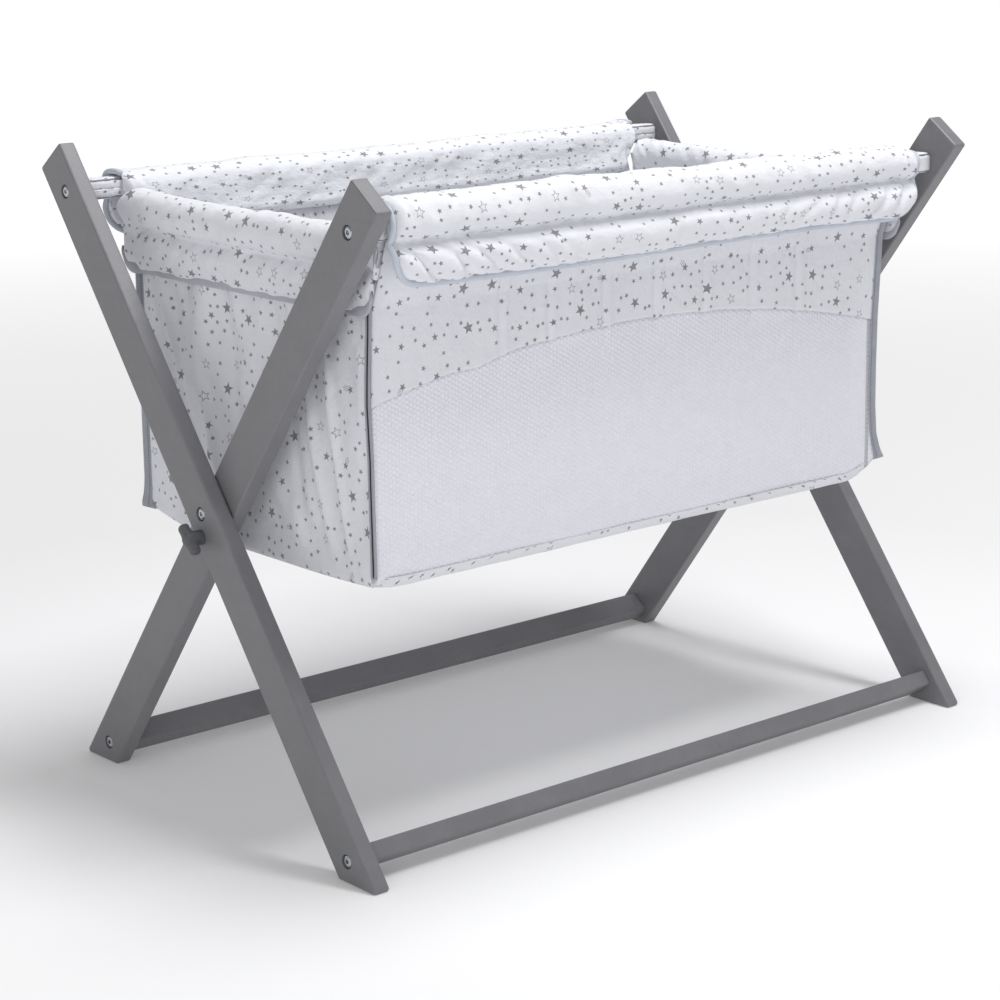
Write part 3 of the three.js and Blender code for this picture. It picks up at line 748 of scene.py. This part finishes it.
def end_wall(side, end):
    low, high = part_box("end_panel_" + end)
    top = high.z - 0.0005

    def place(u, v):
        foot = floor_z + 0.0004 + corner_lift(np.full_like(u, side * end_x), u * wall_y)
        z = foot + (v + 1) / 2 * (top - foot)
        half = wall_reach(z) - 0.0035
        y = u * half
        share = (z - low.z) / (top - low.z)
        calm = np.clip((1 - np.abs(u)) / 0.05, 0, 1) * np.clip(share / 0.16, 0, 1)
        calm *= np.clip((1 - share) / 0.22, 0, 1)
        lean_in = ripple(y + (z - 0.5) * 0.35, z * 0.22, 0.045, 11.0 + side) * 0.0085
        lean_in += ripple(y - (z - 0.5) * 0.5, z * 0.3, 0.03, 15.0 + side) * 0.0045
        for start, finish_at, deep, width in end_folds:
            line = start + (finish_at - start) * share
            lean_in += 0.001 * deep * fold_line(y - line, width) * (0.3 + 0.7 * np.sin(share * math.pi))
        x = high.x if side > 0 else -low.x
        corner = np.clip((np.abs(u) - 0.75) / 0.25, 0, 1) ** 2
        flare = np.where(u < 0, side_edge(-1, side, z), side_edge(1, side, z)) - end_x + 0.0065
        tuck = 0.0035 * np.clip((foot + 0.007 - z) / 0.007, 0, 1) ** 2
        out = x - 0.0006 - tuck + np.clip(lean_in, -0.016, 0.0065) * calm
        out += np.clip(flare, -0.004, 0.008) * corner * 0.8
        return np.stack([side * out, y, z], 1), np.stack([y + side * 0.7, z], 1)

    piece = lay_grid("end_cloth_" + end, 150, 130, place)
    apply_modifier(piece, "SOLIDIFY", thickness=cotton, offset=0)
    finish_piece(piece, star_print, "outer_frame")
    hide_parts("end_panel_" + end)
    fold_away(piece)


end_wall(-1, "left")
end_wall(1, "right")


# ---------------------------------------------------------------------------
# Side walls. Printed cotton above and white air mesh below, joined along a low arch. The cotton
# keeps pressed creases from the roll, and pulls the arch a little out of true at each one.

air_mesh, tree, shader = new_finish("white_air_mesh", (0.80, 0.80, 0.86), 0.8)
shader.inputs["Sheen Weight"].default_value = 0.2
cloth = add_node(tree, "UVMap", uv_map="cut").outputs["UV"]
cut_x, cut_z = axes_of(cloth)[0], axes_of(cloth)[1]
pitch = 0.0056
wide, tall = pitch * math.sqrt(3) / 2, pitch / 2
across, upward = calc("PINGPONG", cut_x, wide), calc("PINGPONG", cut_z, tall)
next_hole = distance(minus(wide, across), minus(tall, upward))
to_hole = calc("MINIMUM", distance(across, upward), next_hole)
inside_hole = spread(to_hole, 0.0014, 0.0023, 1.0, 0.0)
uneven = mottle(cloth, 40, 3)
thread = tint(uneven, (0.74, 0.745, 0.85), (0.83, 0.835, 0.93))
knitted = tint(inside_hole, thread, (0.97, 0.97, 1.0))
# the front and back walls are cut from different places in the cloth, 1.9 m to each side
cut_shift = 1.9
hem_strip = calc("COMPARE", cut_x, 0.3815 - cut_shift, 0.0035)
hem_dots = add_node(tree, "TexVoronoi", {"Vector": cloth, "Scale": 620, "Randomness": 0.2})
in_dot = calc("LESS_THAN", hem_dots.outputs["Distance"], 0.34)
hem_shade = tint(in_dot, (0.62, 0.63, 0.68), (0.30, 0.31, 0.34))
feed(shader, "Base Color", tint(hem_strip, knitted, hem_shade))
feed(shader, "Alpha", spread(inside_hole, 0, 1, 0.96, 0.80))
raise_surface(shader, [(times(inside_hole, -1), 0.7, 0.0009)])

creases = (-0.215, -0.145, -0.062, 0.016, 0.094, 0.172, 0.250)


def arch_height(x):
    share = x / (end_x - 0.007)
    z = floor_z + 0.199 + 0.048 * (1 - share ** 2)
    for crease in creases:
        z = z - 0.0016 * fold_line(x - crease, 0.006)
    return z - 0.005 * fold_line(x + 0.245, 0.025)


def side_wall(side, name, body):
    def shape(u, z, pressed):
        left, right = side_edge(side, -1, z), side_edge(side, 1, z)
        x = np.where(u < 0, u * left, u * right)
        edge = np.clip((1 - np.abs(u)) / 0.03, 0, 1)
        hollow = ripple(x, z, 0.16, 21.0 + side) * 0.0022
        for i, crease in enumerate(creases):
            line = -0.0022 * fold_line(x - crease, 0.0034) + 0.0012 * fold_line(x - crease - 0.008, 0.005)
            tilt = np.clip(1 - np.abs(x - crease - 0.035) / 0.037, 0, 1)
            hollow += (line + tilt * (0.0016 if i % 2 else -0.0012)) * pressed
        hollow += ripple(x, z * 0.2, 0.014, 23.0 + side) * 0.0007 * pressed
        y = side * (wall_reach(z) - 0.0012 + np.clip(hollow, -0.006, 0.003) * edge)
        return np.stack([x, y, z], 1), np.stack([x + side * cut_shift, z], 1)

    def mesh_place(u, v):
        x = u * (end_x - 0.0065)
        top = arch_height(x) + 0.001
        foot = floor_z + 0.0045 + corner_lift(x, np.full_like(x, side * wall_y))
        return shape(u, foot + (v + 1) / 2 * (top - foot), np.clip((v - 0.85) / 0.15, 0, 1))

    def woven_place(u, v):
        x = u * (end_x - 0.0065)
        low = arch_height(x)
        points, cut = shape(u, low + (v + 1) / 2 * (wall_top_z - low), np.ones_like(u))
        points[:, 1] += side * 0.0007
        return points, cut

    mesh = lay_grid(name + "_mesh_cloth", 180, 40, mesh_place)
    apply_modifier(mesh, "SOLIDIFY", thickness=0.0008, offset=0)
    finish_piece(mesh, air_mesh, body)
    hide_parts(name + "_mesh_panel")
    woven = lay_grid(name + "_upper_cloth", 260, 44, woven_place)
    apply_modifier(woven, "SOLIDIFY", thickness=cotton, offset=0)
    finish_piece(woven, star_print, body)
    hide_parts(name + "_upper_panel")
    fold_away(mesh)
    fold_away(woven)


side_wall(-1, "front", "front_drape")
side_wall(1, "back", "outer_frame")


# ---------------------------------------------------------------------------
# Corner seams. Where an end wall meets a side wall the two raw edges stand out together, each bound
# in a folded blue-grey twill tape, with a near-black strip between them as painted shadow of the recess, and
# the bound edges flare at the foot.

def twill_tape(name, dark, light):
    finish, tree, shader = new_finish(name, light, 0.82)
    shader.inputs["Sheen Weight"].default_value = 0.3
    place = add_node(tree, "TexCoord").outputs["Object"]
    x, y, z = axes_of(place)
    twill = calc("SINE", times(plus(plus(x, y), z), 5200))
    worn = mottle(place, 70, 4)
    woven = tint(worn, dark, light)
    # the turned-in edge and its row of stitches, a third of the way in
    cut = add_node(tree, "UVMap", uv_map="cut").outputs["UV"]
    along, across, _ = axes_of(cut)
    line = calc("ABSOLUTE", minus(calc("ABSOLUTE", across), 0.0062))
    fold = spread(line, 0.0002, 0.0007, 1, 0)
    dash = calc("LESS_THAN", calc("PINGPONG", along, 0.0017), 0.0012)
    stitch = times(times(fold, dash), 0.8)
    feed(shader, "Base Color", tint(stitch, woven, (0.13, 0.14, 0.17)))
    raise_surface(shader, [(worn, 0.3, 0.0008), (times(fold, -1), 0.6, 0.0006), (twill, 0.3, 0.0003)])
    return finish


tape = twill_tape("blue_grey_twill_tape", (0.29, 0.303, 0.347), (0.37, 0.385, 0.428))
flap_tape = twill_tape("lilac_grey_twill_tape", (0.37, 0.365, 0.42), (0.45, 0.445, 0.50))

# painted shadow: a near-black strip stands for the shadow in the recess between the two bound edges
recess_shadow_finish, tree, shader = new_finish("dark_slit_tape", (0.02, 0.02, 0.024), 0.9)
place = add_node(tree, "TexCoord").outputs["Object"]
fuzz = mottle(place, 800, 3)
feed(shader, "Base Color", tint(fuzz, (0.014, 0.014, 0.017), (0.035, 0.035, 0.04)))
raise_surface(shader, [(fuzz, 0.3, 0.0003)])


def corner_seam(side, sign, name, body):
    """Two bound edges 9 mm wide standing out at 45 degrees, and a near-black strip between them, painted
    shadow of the recess.
    """
    foot = 0.3175 if (side, sign) == (-1, 1) else 0.3125
    top = rail_z - 0.058
    broad = 0.004 if (side, sign) == (1, -1) else 0.0
    flare = 1.0 if side * sign < 0 else 0.0

    def strip(label, offset, thick, width, finish):
        def place(u, v):
            share = (u + 1) / 2
            z = foot + share * (top - foot)
            base_x = side_edge(side, sign, z) + 0.0005
            base_y = wall_reach(z) - 0.0045
            # v goes round a flat tape: out along one face, over the edge and back along the other
            out = 1 - np.abs(v)
            face = np.sign(v)
            round_off = np.sqrt(np.clip(1 - np.clip((out - 0.82) / 0.18, 0, 1) ** 2, 0, 1))
            round_off *= np.sqrt(np.clip(out / 0.06, 0, 1))
            spring = flare * 0.003 * np.clip((0.352 - z) / 0.034, 0, 1) ** 1.3
            reach = out * (width + spring)
            wobble = ripple(z * 0 + 1.3 * side + sign, z, 0.05, 31.0) * 0.0007
            shift = offset + face * thick / 2 * round_off + wobble
            x = base_x + (reach + shift) * math.sqrt(0.5)
            y = base_y + (reach - shift) * math.sqrt(0.5)
            z = z + flare * 0.004 * out * np.clip((0.33 - z) / 0.012, 0, 1)
            return np.stack([sign * x, side * y, z], 1), np.stack([z, v * width], 1)

        piece = lay_grid(f"{name}_{label}", 90, 20, place)
        close_up(piece, cap_ends=True)
        finish_piece(piece, finish, body)
        fold_away(piece)
        return piece

    first = strip("side_tape", -0.0019, 0.0026, 0.0108 + broad, tape)
    strip("end_tape", 0.0019, 0.0020, 0.0096 + broad, tape)
    # the near-black painted shadow strip between the two bound edges
    strip("slit_tape", 0.0, 0.0014, 0.0045, recess_shadow_finish)
    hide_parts(name)


for end, sign in (("left", -1), ("right", 1)):
    corner_seam(-1, sign, "front_seam_" + end, "front_drape")
    corner_seam(1, sign, "back_seam_" + end, "outer_frame")


# ---------------------------------------------------------------------------
# End covers. A wadded strip of the printed cotton saddled over the top of each end wall: a round
# roll, a sewn line below it, and a soft flap inside and outside, with a flat taped lower edge.

def wadded(name, columns, rows, place, body, wrinkle):
    """An inner and an outer cloth sewn together all round, with wadding between."""
    def both(u, v):
        t = np.where(v < 0.5, (v + 1) / 0.75 - 1, 1 - (v - 0.5) * 4)
        inner, outer, edge, cut = place(u, t)
        out = v < 0.499
        full = np.where(out, edge, 0)[:, None]
        points = inner + (outer - inner) * full
        lift = outer - inner
        lift = lift / np.maximum(np.linalg.norm(lift, axis=1)[:, None], 1e-6)
        points = points + lift * (wrinkle(u, t, cut) * full[:, 0])[:, None]
        cut = cut + np.where(out, 0, 3.0)[:, None] * np.array([0, 1])
        return points, cut

    piece = lay_grid(name, columns, 4 * rows, both)
    close_up(piece)
    apply_modifier(piece, "SUBSURF", levels=1, render_levels=1)
    return piece


end_outer = [
    (3.5, -71), (9, -66), (12, -54), (12, -38), (6.5, -23), (15.5, -14), (19.5, 2), (13, 17),
    (0, 22), (-12, 17), (-18, 4), (-15.5, -12), (-7.5, -23), (-11.5, -38), (-10, -54), (-3.5, -63),
]
end_inner = [
    (2, -70), (1.8, -62), (1.8, -52), (1.8, -40), (1.8, -24), (1.8, -12), (1.8, -4), (1.8, 0.6),
    (0, 2), (-1.8, 0.6), (-1.8, -4), (-1.8, -12), (-1.8, -24), (-1.8, -38), (-1.8, -52), (-1.8, -62),
]


def edge_fill(distance, reach):
    return np.sqrt(np.clip(1 - (1 - np.clip(distance / reach, 0, 1)) ** 2, 0, 1))


def end_cover(side, end):
    low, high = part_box("end_cover_" + end)
    middle = end_x - 0.00125
    axis_z = high.z - 0.022
    half_out = high.y - 0.0005
    half_in = 0.2135
    round_corner = 0.022
    depth = 0.235
    upper_seam, lower_seam = depth * 12 / 15, depth * 4 / 15

    def clear_of_seam(y):
        """1 where the flap has to stand out past the bound corner seam."""
        return np.clip((np.abs(y) - 0.203) / 0.004, 0, 1)

    def corner_climb(near_end):
        lift = np.clip(round_corner - near_end, 0, round_corner)
        return round_corner - np.sqrt(np.maximum(round_corner ** 2 - lift ** 2, 0))

    def place(u, t):
        w = (t + 1) / 2
        outer = through(end_outer, w) * 0.001
        inner = through(end_inner, w) * 0.001
        half = half_in + (half_out - half_in) * np.clip((7.6 - w * 15) / 1.2, 0, 1)
        y = u * half
        stand_out = 0.0018 + clear_of_seam(y) * 0.0062
        inner[:, 0] = np.maximum(inner[:, 0], np.where(w < 0.52, stand_out, -1))
        outer[:, 0] = np.maximum(outer[:, 0], np.where(w < 0.52, inner[:, 0] + 0.0005, -1))
        near_end = half - np.abs(y)
        climb = corner_climb(near_end) * np.clip(1 - w * 5, 0, 1)
        dip = 0.004 * np.cos(u * math.pi / 2) - 0.004 * np.clip(np.abs(u) - 0.6, 0, 1) ** 2
        raised = climb - dip * np.clip(w * 3, 0, 1)
        edge = edge_fill(near_end, 0.007) * edge_fill((1 - np.abs(t)) * 0.12, 0.009)

        def world(line):
            return np.stack([side * (middle + line[:, 0]), y, axis_z + line[:, 1] + raised], 1)

        return world(inner), world(outer), edge, np.stack([y + side, w * depth], 1)

    def wrinkle(u, t, cut):
        y, s = cut[:, 0], cut[:, 1]
        seam = fold_line(s - lower_seam, 0.010) + 0.6 * fold_line(s - upper_seam, 0.010)
        made = ripple(y, s * 0.25, 0.010, 41.0 + side) * 0.0022 * seam
        made += ripple(y, s, 0.05, 43.0 + side) * 0.0030
        made += ripple(y + s * 0.7, s * 0.4, 0.020, 45.0 + side) * 0.0020
        made -= 0.0030 * fold_line(s - lower_seam, 0.0028)
        ends = np.clip((np.abs(u) - 0.72) / 0.28, 0, 1)
        made += np.sin((np.abs(y - side) * 1.2 + s) * 330) * 0.0011 * ends
        return made

    piece = wadded("end_cover_pad_" + end, 110, 22, place, "outer_frame", wrinkle)
    finish_piece(piece, star_print, "outer_frame")
    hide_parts("end_cover_" + end)
    fold_away(piece)

    def hem_place(u, v):
        around = v * math.pi
        y = u * (half_out - 0.0004)
        x = middle + 0.0056 + clear_of_seam(y) * 0.0045 + 0.0024 * np.cos(around)
        z = axis_z - 0.0680 + corner_climb(half_out - np.abs(y)) + 0.0064 * np.sin(around)
        z += ripple(y, y * 0, 0.03, 5.0) * 0.0006
        return np.stack([side * x, y, z], 1), np.stack([y, v * 0.012], 1)

    hem = lay_grid("end_cover_tape_" + end, 110, 14, hem_place)
    close_up(hem, cap_ends=True)
    finish_piece(hem, flap_tape, "outer_frame")
    fold_away(hem)


end_cover(-1, "left")
end_cover(1, "right")


# ---------------------------------------------------------------------------
# Rail covers. The same wadded cotton, saddled over each top rail: a fat roll on top, a sewn line,
# and a puffed flap that hangs outside with rounded corners, edged all round with corded piping.

front_outer = [
    (17, -58), (29, -54.5), (35, -43), (33.5, -27), (19.5, -16), (27, -8), (29.5, 6), (21.5, 22),
    (3, 28), (-15, 25), (-27, 12), (-29, -3), (-25.5, -15), (-32, -28), (-34.5, -38), (-29, -46),
]
back_outer = [
    (17, -58), (28, -54.5), (33, -43), (31, -27), (19.5, -16), (25, -8), (26, 5), (18, 15),
    (2, 18.5), (-15, 16.5), (-26, 8), (-30, -4), (-31.5, -16), (-33.5, -28), (-35, -38), (-29, -46),
]
rail_inner = [
    (14.6, -57), (14.6, -49), (14.6, -38), (14.6, -26), (14.6, -14), (14.6, -4), (14.6, 6), (13, 13.4),
    (3, 14.8), (-8, 14.8), (-14.2, 10), (-15.2, -3), (-17.2, -14), (-21.4, -27), (-24.8, -38), (-27.4, -46),
]


def rail_cover(side, name, contour, body, seams, ends, crown):
    half = (ends[1] - ends[0]) / 2
    middle = (ends[1] + ends[0]) / 2
    corner = 0.056
    depth = 0.30
    sewn_line = 0.08
    hem_w = 4 / 15

    def droop_at(x):
        return 0.0015 * np.sin(x * 9) - 0.0012 * np.clip((x - 0.25) / 0.15, 0, 1)

    def climb_at(near_end):
        """How much of the flap's depth is cut away this far from its end."""
        d = np.clip(1 - near_end / corner, 0, 1)
        return 0.90 * (1 - np.sqrt(np.maximum(1 - d ** 2.2, 0)))

    def place(u, t):
        w = (t + 1) / 2
        # the flap and the roll end short on the inside, where the end wall stands
        along = u * (half - 0.016 * np.clip((w * 15 - 11) / 2, 0, 1))
        near_end = half - np.abs(u) * half
        x = middle + along
        # the flap's lower corners are cut round, so its hem climbs towards the two ends
        flap = np.clip(w / hem_w, 0, 1)
        cut_up = climb_at(near_end)
        w_cut = np.where(w < hem_w, (cut_up + flap * (1 - cut_up)) * hem_w, w)
        outer = through(contour, w_cut) * 0.001
        inner = through(rail_inner, w_cut) * 0.001
        edge = edge_fill(near_end, 0.009) * edge_fill(w * depth, 0.008)
        edge *= edge_fill((1 - w) * depth, 0.006)
        lower = 1 - flap
        skew = np.clip(x / half, 0, 1) ** 3 * -0.009 * (1 - np.clip(w * 15 / 5, 0, 1))

        def world(line):
            rise = line[:, 1] + droop_at(x) * lower
            rise = rise + np.interp(x, *crown) * 0.001 * np.clip((line[:, 1] - 0.006) / 0.020, 0, 1)
            return np.stack([x + skew, side * (rail_y + line[:, 0]), rail_z + rise], 1)

        return world(inner), world(outer), edge, np.stack([x + side * 1.3, w_cut * depth], 1)

    def wrinkle(u, t, cut):
        x, s = cut[:, 0] - side * 1.3, cut[:, 1]
        at_seam = fold_line(s - sewn_line, 0.011)
        at_hem = fold_line(s, 0.020)
        made = ripple(x, s * 0.25, 0.006, 51.0 + side) * (0.0032 * at_seam + 0.0026 * at_hem)
        made += ripple(x, s, 0.06, 53.0 + side) * 0.0028
        made += ripple(x + s * 0.6, s * 0.5, 0.022, 55.0 + side) * 0.0016
        made -= 0.0035 * fold_line(s - sewn_line, 0.0026)
        flap = np.clip((sewn_line - s) / 0.012, 0, 1)
        for end in (-1, 1):
            inward = half - (x - middle) * end
            near = np.clip(1 - inward / 0.27, 0, 1) ** 0.8 * np.clip(inward / 0.02, 0, 1)
            phase = (inward + s * 0.9) * math.pi / 0.040 + ripple(x, s, 0.05, 57.0) * 1.3
            made -= np.exp(-(np.sin(phase) / 0.30) ** 2) * 0.0068 * near * flap
            made -= 0.0016 * np.cos(2 * phase) * near * flap
            roll_end = np.clip(1 - inward / 0.050, 0, 1)
            fan = np.sin(x * 2 * math.pi / 0.013 + s * 60 * end + ripple(x, s, 0.02, 58.0) * 2.5)
            made += fan * 0.0019 * roll_end * (1 - flap)
        for seam_x, s_low, s_high in seams:
            span = (s > s_low) & (s < s_high)
            made -= 0.0022 * fold_line(x - seam_x, 0.0035) * span
        return made

    piece = wadded(name + "_pad", 200, 30, place, body, wrinkle)
    finish_piece(piece, star_print, body)
    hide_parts(name)
    fold_away(piece)

    def between(x, w, out, slack=(0, 0)):
        """A point of the edge, this share of the way out from the inner cloth to the outer one."""
        lining, face = (through(curve, np.array([w]))[0] * 0.001 for curve in (rail_inner, contour))
        return (x, *(lining + (face - lining) * out + slack))

    # piping: down one end, along the hem and up the other end
    tops = np.linspace(0.60, hem_w, 26)[:-1]
    line = [between(-half - 0.0012, w, 0.66) for w in tops]
    for x in np.concatenate([
        -half - 0.0008 + (1 - np.cos(np.linspace(0, math.pi / 2, 24))) * corner,
        np.linspace(-half + corner, half - corner, 90)[1:-1],
        half + 0.0008 - (1 - np.cos(np.linspace(math.pi / 2, 0, 24))) * corner,
    ]):
        cut_up = float(climb_at(half + 0.0008 - abs(x)))
        slack = (0.001, droop_at(x) - 0.002 * (1 - cut_up))
        line.append(between(x, cut_up * hem_w, 0.35 + 0.25 * cut_up, slack))
    line += [between(half + 0.0012, w, 0.66) for w in tops[::-1]]
    placed = []
    for x, u, z in line:
        x += middle
        skew = min(1, max(0, x / half)) ** 3 * -0.009 * min(1, max(0, (0.024 - z) / 0.06))
        rise = np.interp(x, *crown) * 0.001 * min(1, max(0, (z - 0.006) / 0.020))
        placed.append((x + skew, side * (rail_y + u), rail_z + z + rise))
    cord = edge_cord(name + "_piping", placed, 0.0035, piping, body, sides=12)
    fold_away(cord)


piping, tree, shader = new_finish("pale_blue_grey_piping", (0.50, 0.54, 0.61), 0.8)
shader.inputs["Sheen Weight"].default_value = 0.3
place = add_node(tree, "TexCoord").outputs["Object"]
twill = calc("SINE", times(plus(axes_of(place)[0], axes_of(place)[2]), 4200))
worn = mottle(place, 60, 4)
feed(shader, "Base Color", tint(worn, (0.47, 0.51, 0.58), (0.55, 0.59, 0.66)))
raise_surface(shader, [(worn, 0.3, 0.0008), (twill, 0.3, 0.0003)])

front_crown = ([-0.408, -0.162, 0.05, 0.218, 0.346, 0.385, 0.395], [3, 3, -1, -1, -3, -7, -10])
back_crown = ([-0.402, 0, 0.402], [1, -2, 1])
front_seams = ((-0.325, 0.085, 0.2), (-0.011, 0.0, 0.078))
rail_cover(-1, "front_cover", front_outer, "front_drape", front_seams, (-0.408, 0.392), front_crown)
rail_cover(1, "back_cover", back_outer, "outer_frame", ((0.380, 0.1, 0.3),), (-0.402, 0.402), back_crown)


# ---------------------------------------------------------------------------
# Studio. A pale floor that glows by itself as painted light, weakly near the cradle and more further out; two
# soft lights nearly overhead, weak ones from the left and from low in front; and a camera a little above the
# height of the cradle.

bpy.ops.object.select_all(action="DESELECT")
bpy.ops.mesh.primitive_plane_add(size=120, location=(0, 0, -0.0002))
studio_floor = bpy.context.object
studio_floor.name = "studio_floor"
pale, tree, shader = new_finish("glowing_floor_painted_light", (0.82, 0.82, 0.83), 0.9)
# painted light: the floor glows by itself, weakly near the cradle and more further out, so the far floor
# reads white and lights the cradle from below
shader.inputs["Emission Color"].default_value = (1, 1, 1, 1)
place = add_node(tree, "TexCoord").outputs["Object"]
away = add_node(tree, "VectorMath", {0: place}, operation="LENGTH").outputs["Value"]
feed(shader, "Emission Strength", spread(away, 1.2, 5.0, 0.10, 0.70))
studio_floor.data.materials.append(pale)

bpy.ops.object.select_all(action="DESELECT")
bpy.ops.mesh.primitive_cylinder_add(vertices=64, radius=55, depth=60, end_fill_type="NOTHING")
backdrop = bpy.context.object
backdrop.name = "studio_backdrop"
backdrop.visible_diffuse = backdrop.visible_glossy = backdrop.visible_transmission = False
backdrop.visible_shadow = backdrop.visible_volume_scatter = False
paper, tree, shader = new_finish("white_backdrop", (0, 0, 0), 1.0)
shader.inputs["Specular IOR Level"].default_value = 0
shader.inputs["Emission Color"].default_value = (1, 1, 1, 1)
shader.inputs["Emission Strength"].default_value = 1
backdrop.data.materials.append(paper)


def soft_light(name, place, aim, size, power, colour=(1, 1, 1)):
    data = bpy.data.lights.new(name, "AREA")
    data.shape = "DISK"
    data.size, data.energy, data.color = size, power, colour
    lamp = bpy.data.objects.new(name, data)
    bpy.context.scene.collection.objects.link(lamp)
    lamp.location = place
    lamp.rotation_euler = (Vector(aim) - Vector(place)).to_track_quat("-Z", "Y").to_euler()


soft_light("key", (0.8, -1.3, 3.6), (0, 0, 0.45), 0.9, 34)
soft_light("overhead", (0.3, -0.2, 3.2), (0, 0, 0.4), 1.2, 50)
soft_light("low_fill", (-0.42, -2.4, 0.55), (0.5, 0.1, 0.35), 0.8, 3)
soft_light("left_fill", (-3.0, -2.2, 1.2), (0.3, 0, 0.4), 2.0, 20)
world = bpy.data.worlds.new("studio")
bpy.context.scene.world = world
world.use_nodes = True
world.node_tree.nodes["Background"].inputs["Color"].default_value = (1.0, 1.0, 1.0, 1)
world.node_tree.nodes["Background"].inputs["Strength"].default_value = 0.38
bpy.context.scene.view_settings.view_transform = "Standard"

azimuth, elevation, roll = math.radians(-40.349), math.radians(13.783), math.radians(-0.67)
back = Vector((
    math.sin(azimuth) * math.cos(elevation), -math.cos(azimuth) * math.cos(elevation), math.sin(elevation),
))
right = Vector((math.cos(azimuth), math.sin(azimuth), 0))
up = back.cross(right)
camera_data = bpy.data.cameras.new("camera")
camera_data.lens = 93.23
camera_data.sensor_width = 36
camera_data.clip_end = 100
camera = bpy.data.objects.new("camera", camera_data)
bpy.context.scene.collection.objects.link(camera)
across_view = right * math.cos(roll) + up * math.sin(roll)
up_view = up * math.cos(roll) - right * math.sin(roll)
camera.matrix_world = Matrix.Translation((-2.00609, -2.31671, 1.04631)) @ Matrix((
    (across_view.x, up_view.x, back.x),
    (across_view.y, up_view.y, back.y),
    (across_view.z, up_view.z, back.z),
)).to_4x4()
bpy.context.scene.camera = camera
